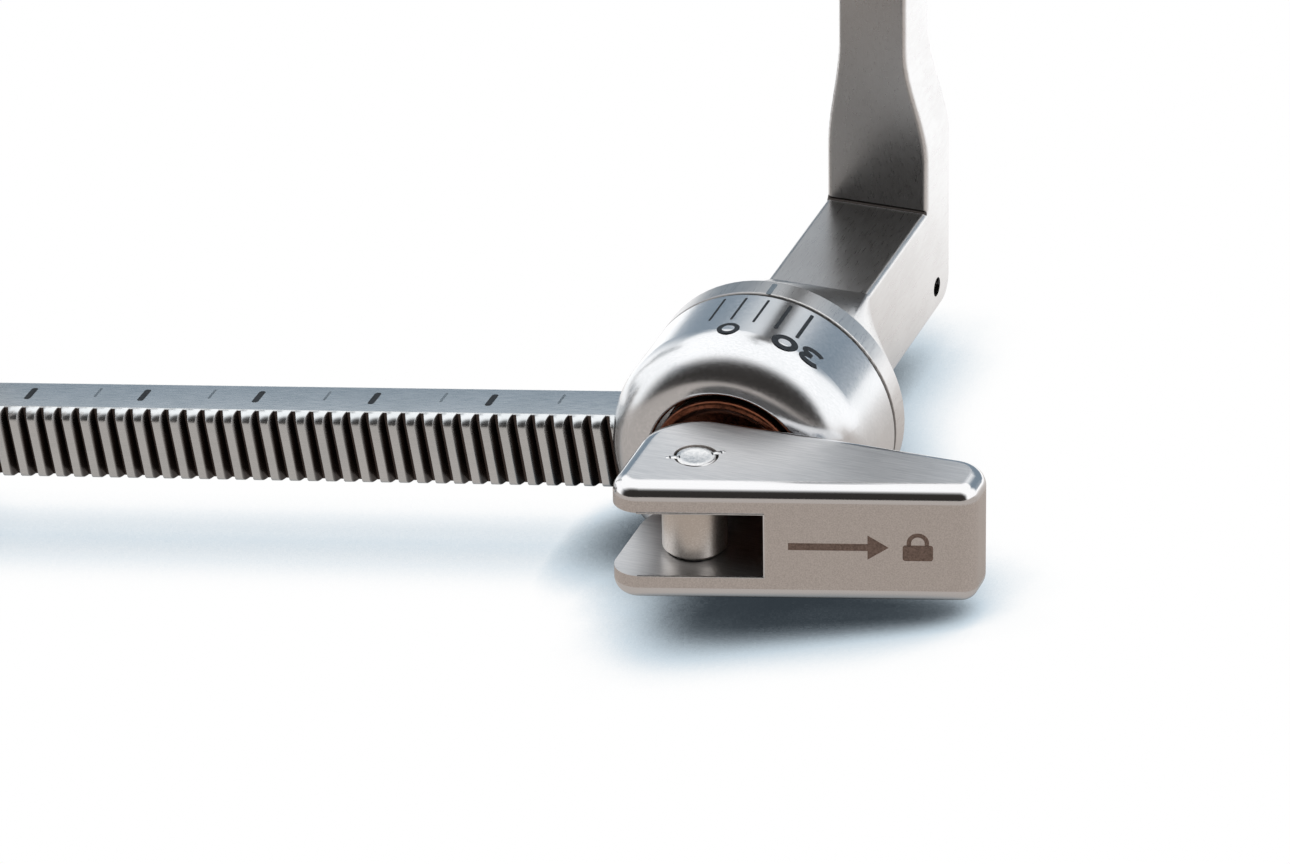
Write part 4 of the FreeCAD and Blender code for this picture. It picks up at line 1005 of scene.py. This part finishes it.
def pin_solid():
    """Pin through the lever, with a soft rim and a slightly hollow head."""
    top = LEVER_HALF
    profile = [(0, -top), (PIN_RADIUS - 0.15, -top), (PIN_RADIUS, 0.15 - top), (PIN_RADIUS, top - 0.30),
               (PIN_RADIUS - 0.04, top - 0.16), (PIN_RADIUS - 0.13, top - 0.04), (PIN_RADIUS - 0.26, top),
               (1.0, top - 0.03), (0, top - 0.05)]
    return spun(profile)


def pebble(centre, size, turn):
    """Small flattened blob, squashed to size and turned about Z."""
    mesh = bmesh.new()
    shape = Matrix.Translation(centre) @ Matrix.Rotation(turn, 4, "Z") @ Matrix.Diagonal((*size, 1))
    bmesh.ops.create_icosphere(mesh, subdivisions=3, radius=1.0, matrix=shape)
    return mesh


def struck(pebbles, name, place):
    """Pebbles round the pin's head, the same at each stake, as one mesh."""
    solids = []
    for angle in STAKE_ANGLES:
        a = math.radians(angle)
        for distance, depth, size in pebbles:
            centre = (distance * math.cos(a), distance * math.sin(a), LEVER_HALF - depth)
            solids.append(pebble(centre, size, a))
    return joined(solids, name, place)


def pin_centre(side):
    """Middle of the lever's pin in the millimetres of the leaned frame."""
    return leaned(side).inverted() @ joint_point(side, "lever_swing")


for side in SIDES:
    lever = side + "_lever"
    pin_place = leaned(side) @ Matrix.Translation(pin_centre(side))
    pin_mesh = joined([pin_solid()], "staked_pin", pin_place)
    pin_piece = new_piece(side + "_staked_pin", pin_mesh, pin_steel, lever)
    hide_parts(side + "_lever_pin")
    new_piece(side + "_pin_stakes", struck(STAKES, "stakes", pin_place), pin_steel, lever)
    # The nick pebbles take the black mark's colour as painted shade.
    new_piece(side + "_pin_stake_nicks", struck(NICK_SHADES, "nick_shades", pin_place), black_mark, lever)
print("stakes on each pin:", len(STAKE_ANGLES))

# %% [markdown]
# ## Bright edges of the slot
# The slot is milled after blasting, and its front edges are run over with a polishing stone.
# They catch the light as hairlines. A real edge of this kind is rounder than it is wide, so a
# very thin polished rod laid along each edge, sunk half into it, shows it well.

# %% Slot edges
# A point of the lever's slanting front face, right of the pin and in front of it, and the face's slope.
FRONT_AT = (9.19, -2.35)
FRONT_SLOPE = 0.305
SLOT_HALF = 2.75
SLOT_FIRST = -2.7
SLOT_LAST = 6.5
LONG_EDGE_RADIUS = 0.09
END_EDGE_RADIUS = 0.07


def thin_rod(start, end, radius):
    """Closed thin rod between two points."""
    mesh = bmesh.new()
    start, end = Vector(start), Vector(end)
    turn = (end - start).to_track_quat("Z", "Y").to_matrix().to_4x4()
    bmesh.ops.create_cone(mesh, cap_ends=True, segments=10, radius1=radius, radius2=radius,
                          depth=(end - start).length, matrix=Matrix.Translation((start + end) / 2) @ turn)
    return mesh


def front_face(side, x):
    """Place (x, y) on the lever's slanting front face, x millimetres right of its pin."""
    pin = pin_centre(side)
    return pin.x + x, pin.y + FRONT_AT[1] + FRONT_SLOPE * (x - FRONT_AT[0])


for side in SIDES:
    first = front_face(side, SLOT_FIRST)
    last = front_face(side, SLOT_LAST)
    rods = [thin_rod((*first, z), (*last, z), LONG_EDGE_RADIUS) for z in (-SLOT_HALF, SLOT_HALF)]
    rods.append(thin_rod((*last, -SLOT_HALF), (*last, SLOT_HALF), END_EDGE_RADIUS))
    edges = joined(rods, "slot_edges", leaned(side))
    new_piece(side + "_slot_edges", edges, pin_steel, side + "_lever")
print("slot from", SLOT_FIRST, "to", SLOT_LAST, "mm right of the pin")

# %% [markdown]
# ## A pictogram on the lever
# An arrow towards a closed padlock shows on the lever's front which way it locks. It is drawn
# flat, in the lever's own millimetres, and laid on the slanting face.

# %% Padlock and arrow
PICTOGRAM_MIDDLE = 13.6
PADLOCK_AT = 4.2
PADLOCK_WIDTH = 2.3
PADLOCK_HEIGHT = 1.35
PADLOCK_ROUNDING = 0.22
SHACKLE_RADIUS = 0.68
SHACKLE_STROKE = 0.34
ARROW_START = -5.6
ARROW_END = 2.0
ARROW_HEAD = 1.6
ARROW_HEAD_HALF = 1.05
ARROW_SHAFT_HALF = 0.30


def rounded_outline(width, height, radius, middle):
    """Corners of a rectangle with rounded corners about a middle."""
    points = []
    for sx, sy, start in ((1, 1, 0), (-1, 1, 90), (-1, -1, 180), (1, -1, 270)):
        for i in range(7):
            a = math.radians(start + 15 * i)
            points.append((middle[0] + sx * (width / 2 - radius) + radius * math.cos(a),
                           middle[1] + sy * (height / 2 - radius) + radius * math.sin(a)))
    return points


def padlock(x):
    """Closed padlock about a place on the middle line: a plain body and its shackle."""
    body = rounded_outline(PADLOCK_WIDTH, PADLOCK_HEIGHT, PADLOCK_ROUNDING, (x, -0.45))
    turns = [math.radians(a) for a in range(0, 181, 12)]
    bow = [(x + SHACKLE_RADIUS * math.cos(a), 0.42 + SHACKLE_RADIUS * math.sin(a)) for a in turns]
    shackle = [(x + SHACKLE_RADIUS, 0.15)] + bow + [(x - SHACKLE_RADIUS, 0.15)]
    ribbon = bmesh.new()
    left, right = path_ribbon(shackle, SHACKLE_STROKE)
    ribbon_solid(ribbon, left, right, False, lambda a, b, out: (a, b, out))
    bmesh.ops.recalc_face_normals(ribbon, faces=ribbon.faces)
    return [plate(body), ribbon]


def arrow(start, end):
    """Arrow along the middle line, with its head at end."""
    neck = end - ARROW_HEAD
    shaft = [(start, -ARROW_SHAFT_HALF), (neck, -ARROW_SHAFT_HALF),
             (neck, ARROW_SHAFT_HALF), (start, ARROW_SHAFT_HALF)]
    tip = [(neck, -ARROW_HEAD_HALF), (end, 0), (neck, ARROW_HEAD_HALF)]
    return [plate(shaft), plate(tip)]


face_angle = math.atan(FRONT_SLOPE)
along = Vector((math.cos(face_angle), math.sin(face_angle), 0))
upward = Vector((0, 0, 1))
outward = along.cross(upward)
for side in SIDES:
    sheet = Matrix((along, upward, outward)).transposed().to_4x4()
    sheet.translation = (*front_face(side, PICTOGRAM_MIDDLE), 0)
    parts = padlock(PADLOCK_AT) + arrow(ARROW_START, ARROW_END)
    mesh = joined(parts, "lock_pictogram", leaned(side) @ sheet)
    new_piece(side + "_lock_pictogram", mesh, brown_mark, side + "_lever")
print("pictogram", PICTOGRAM_MIDDLE, "mm right of the pin")
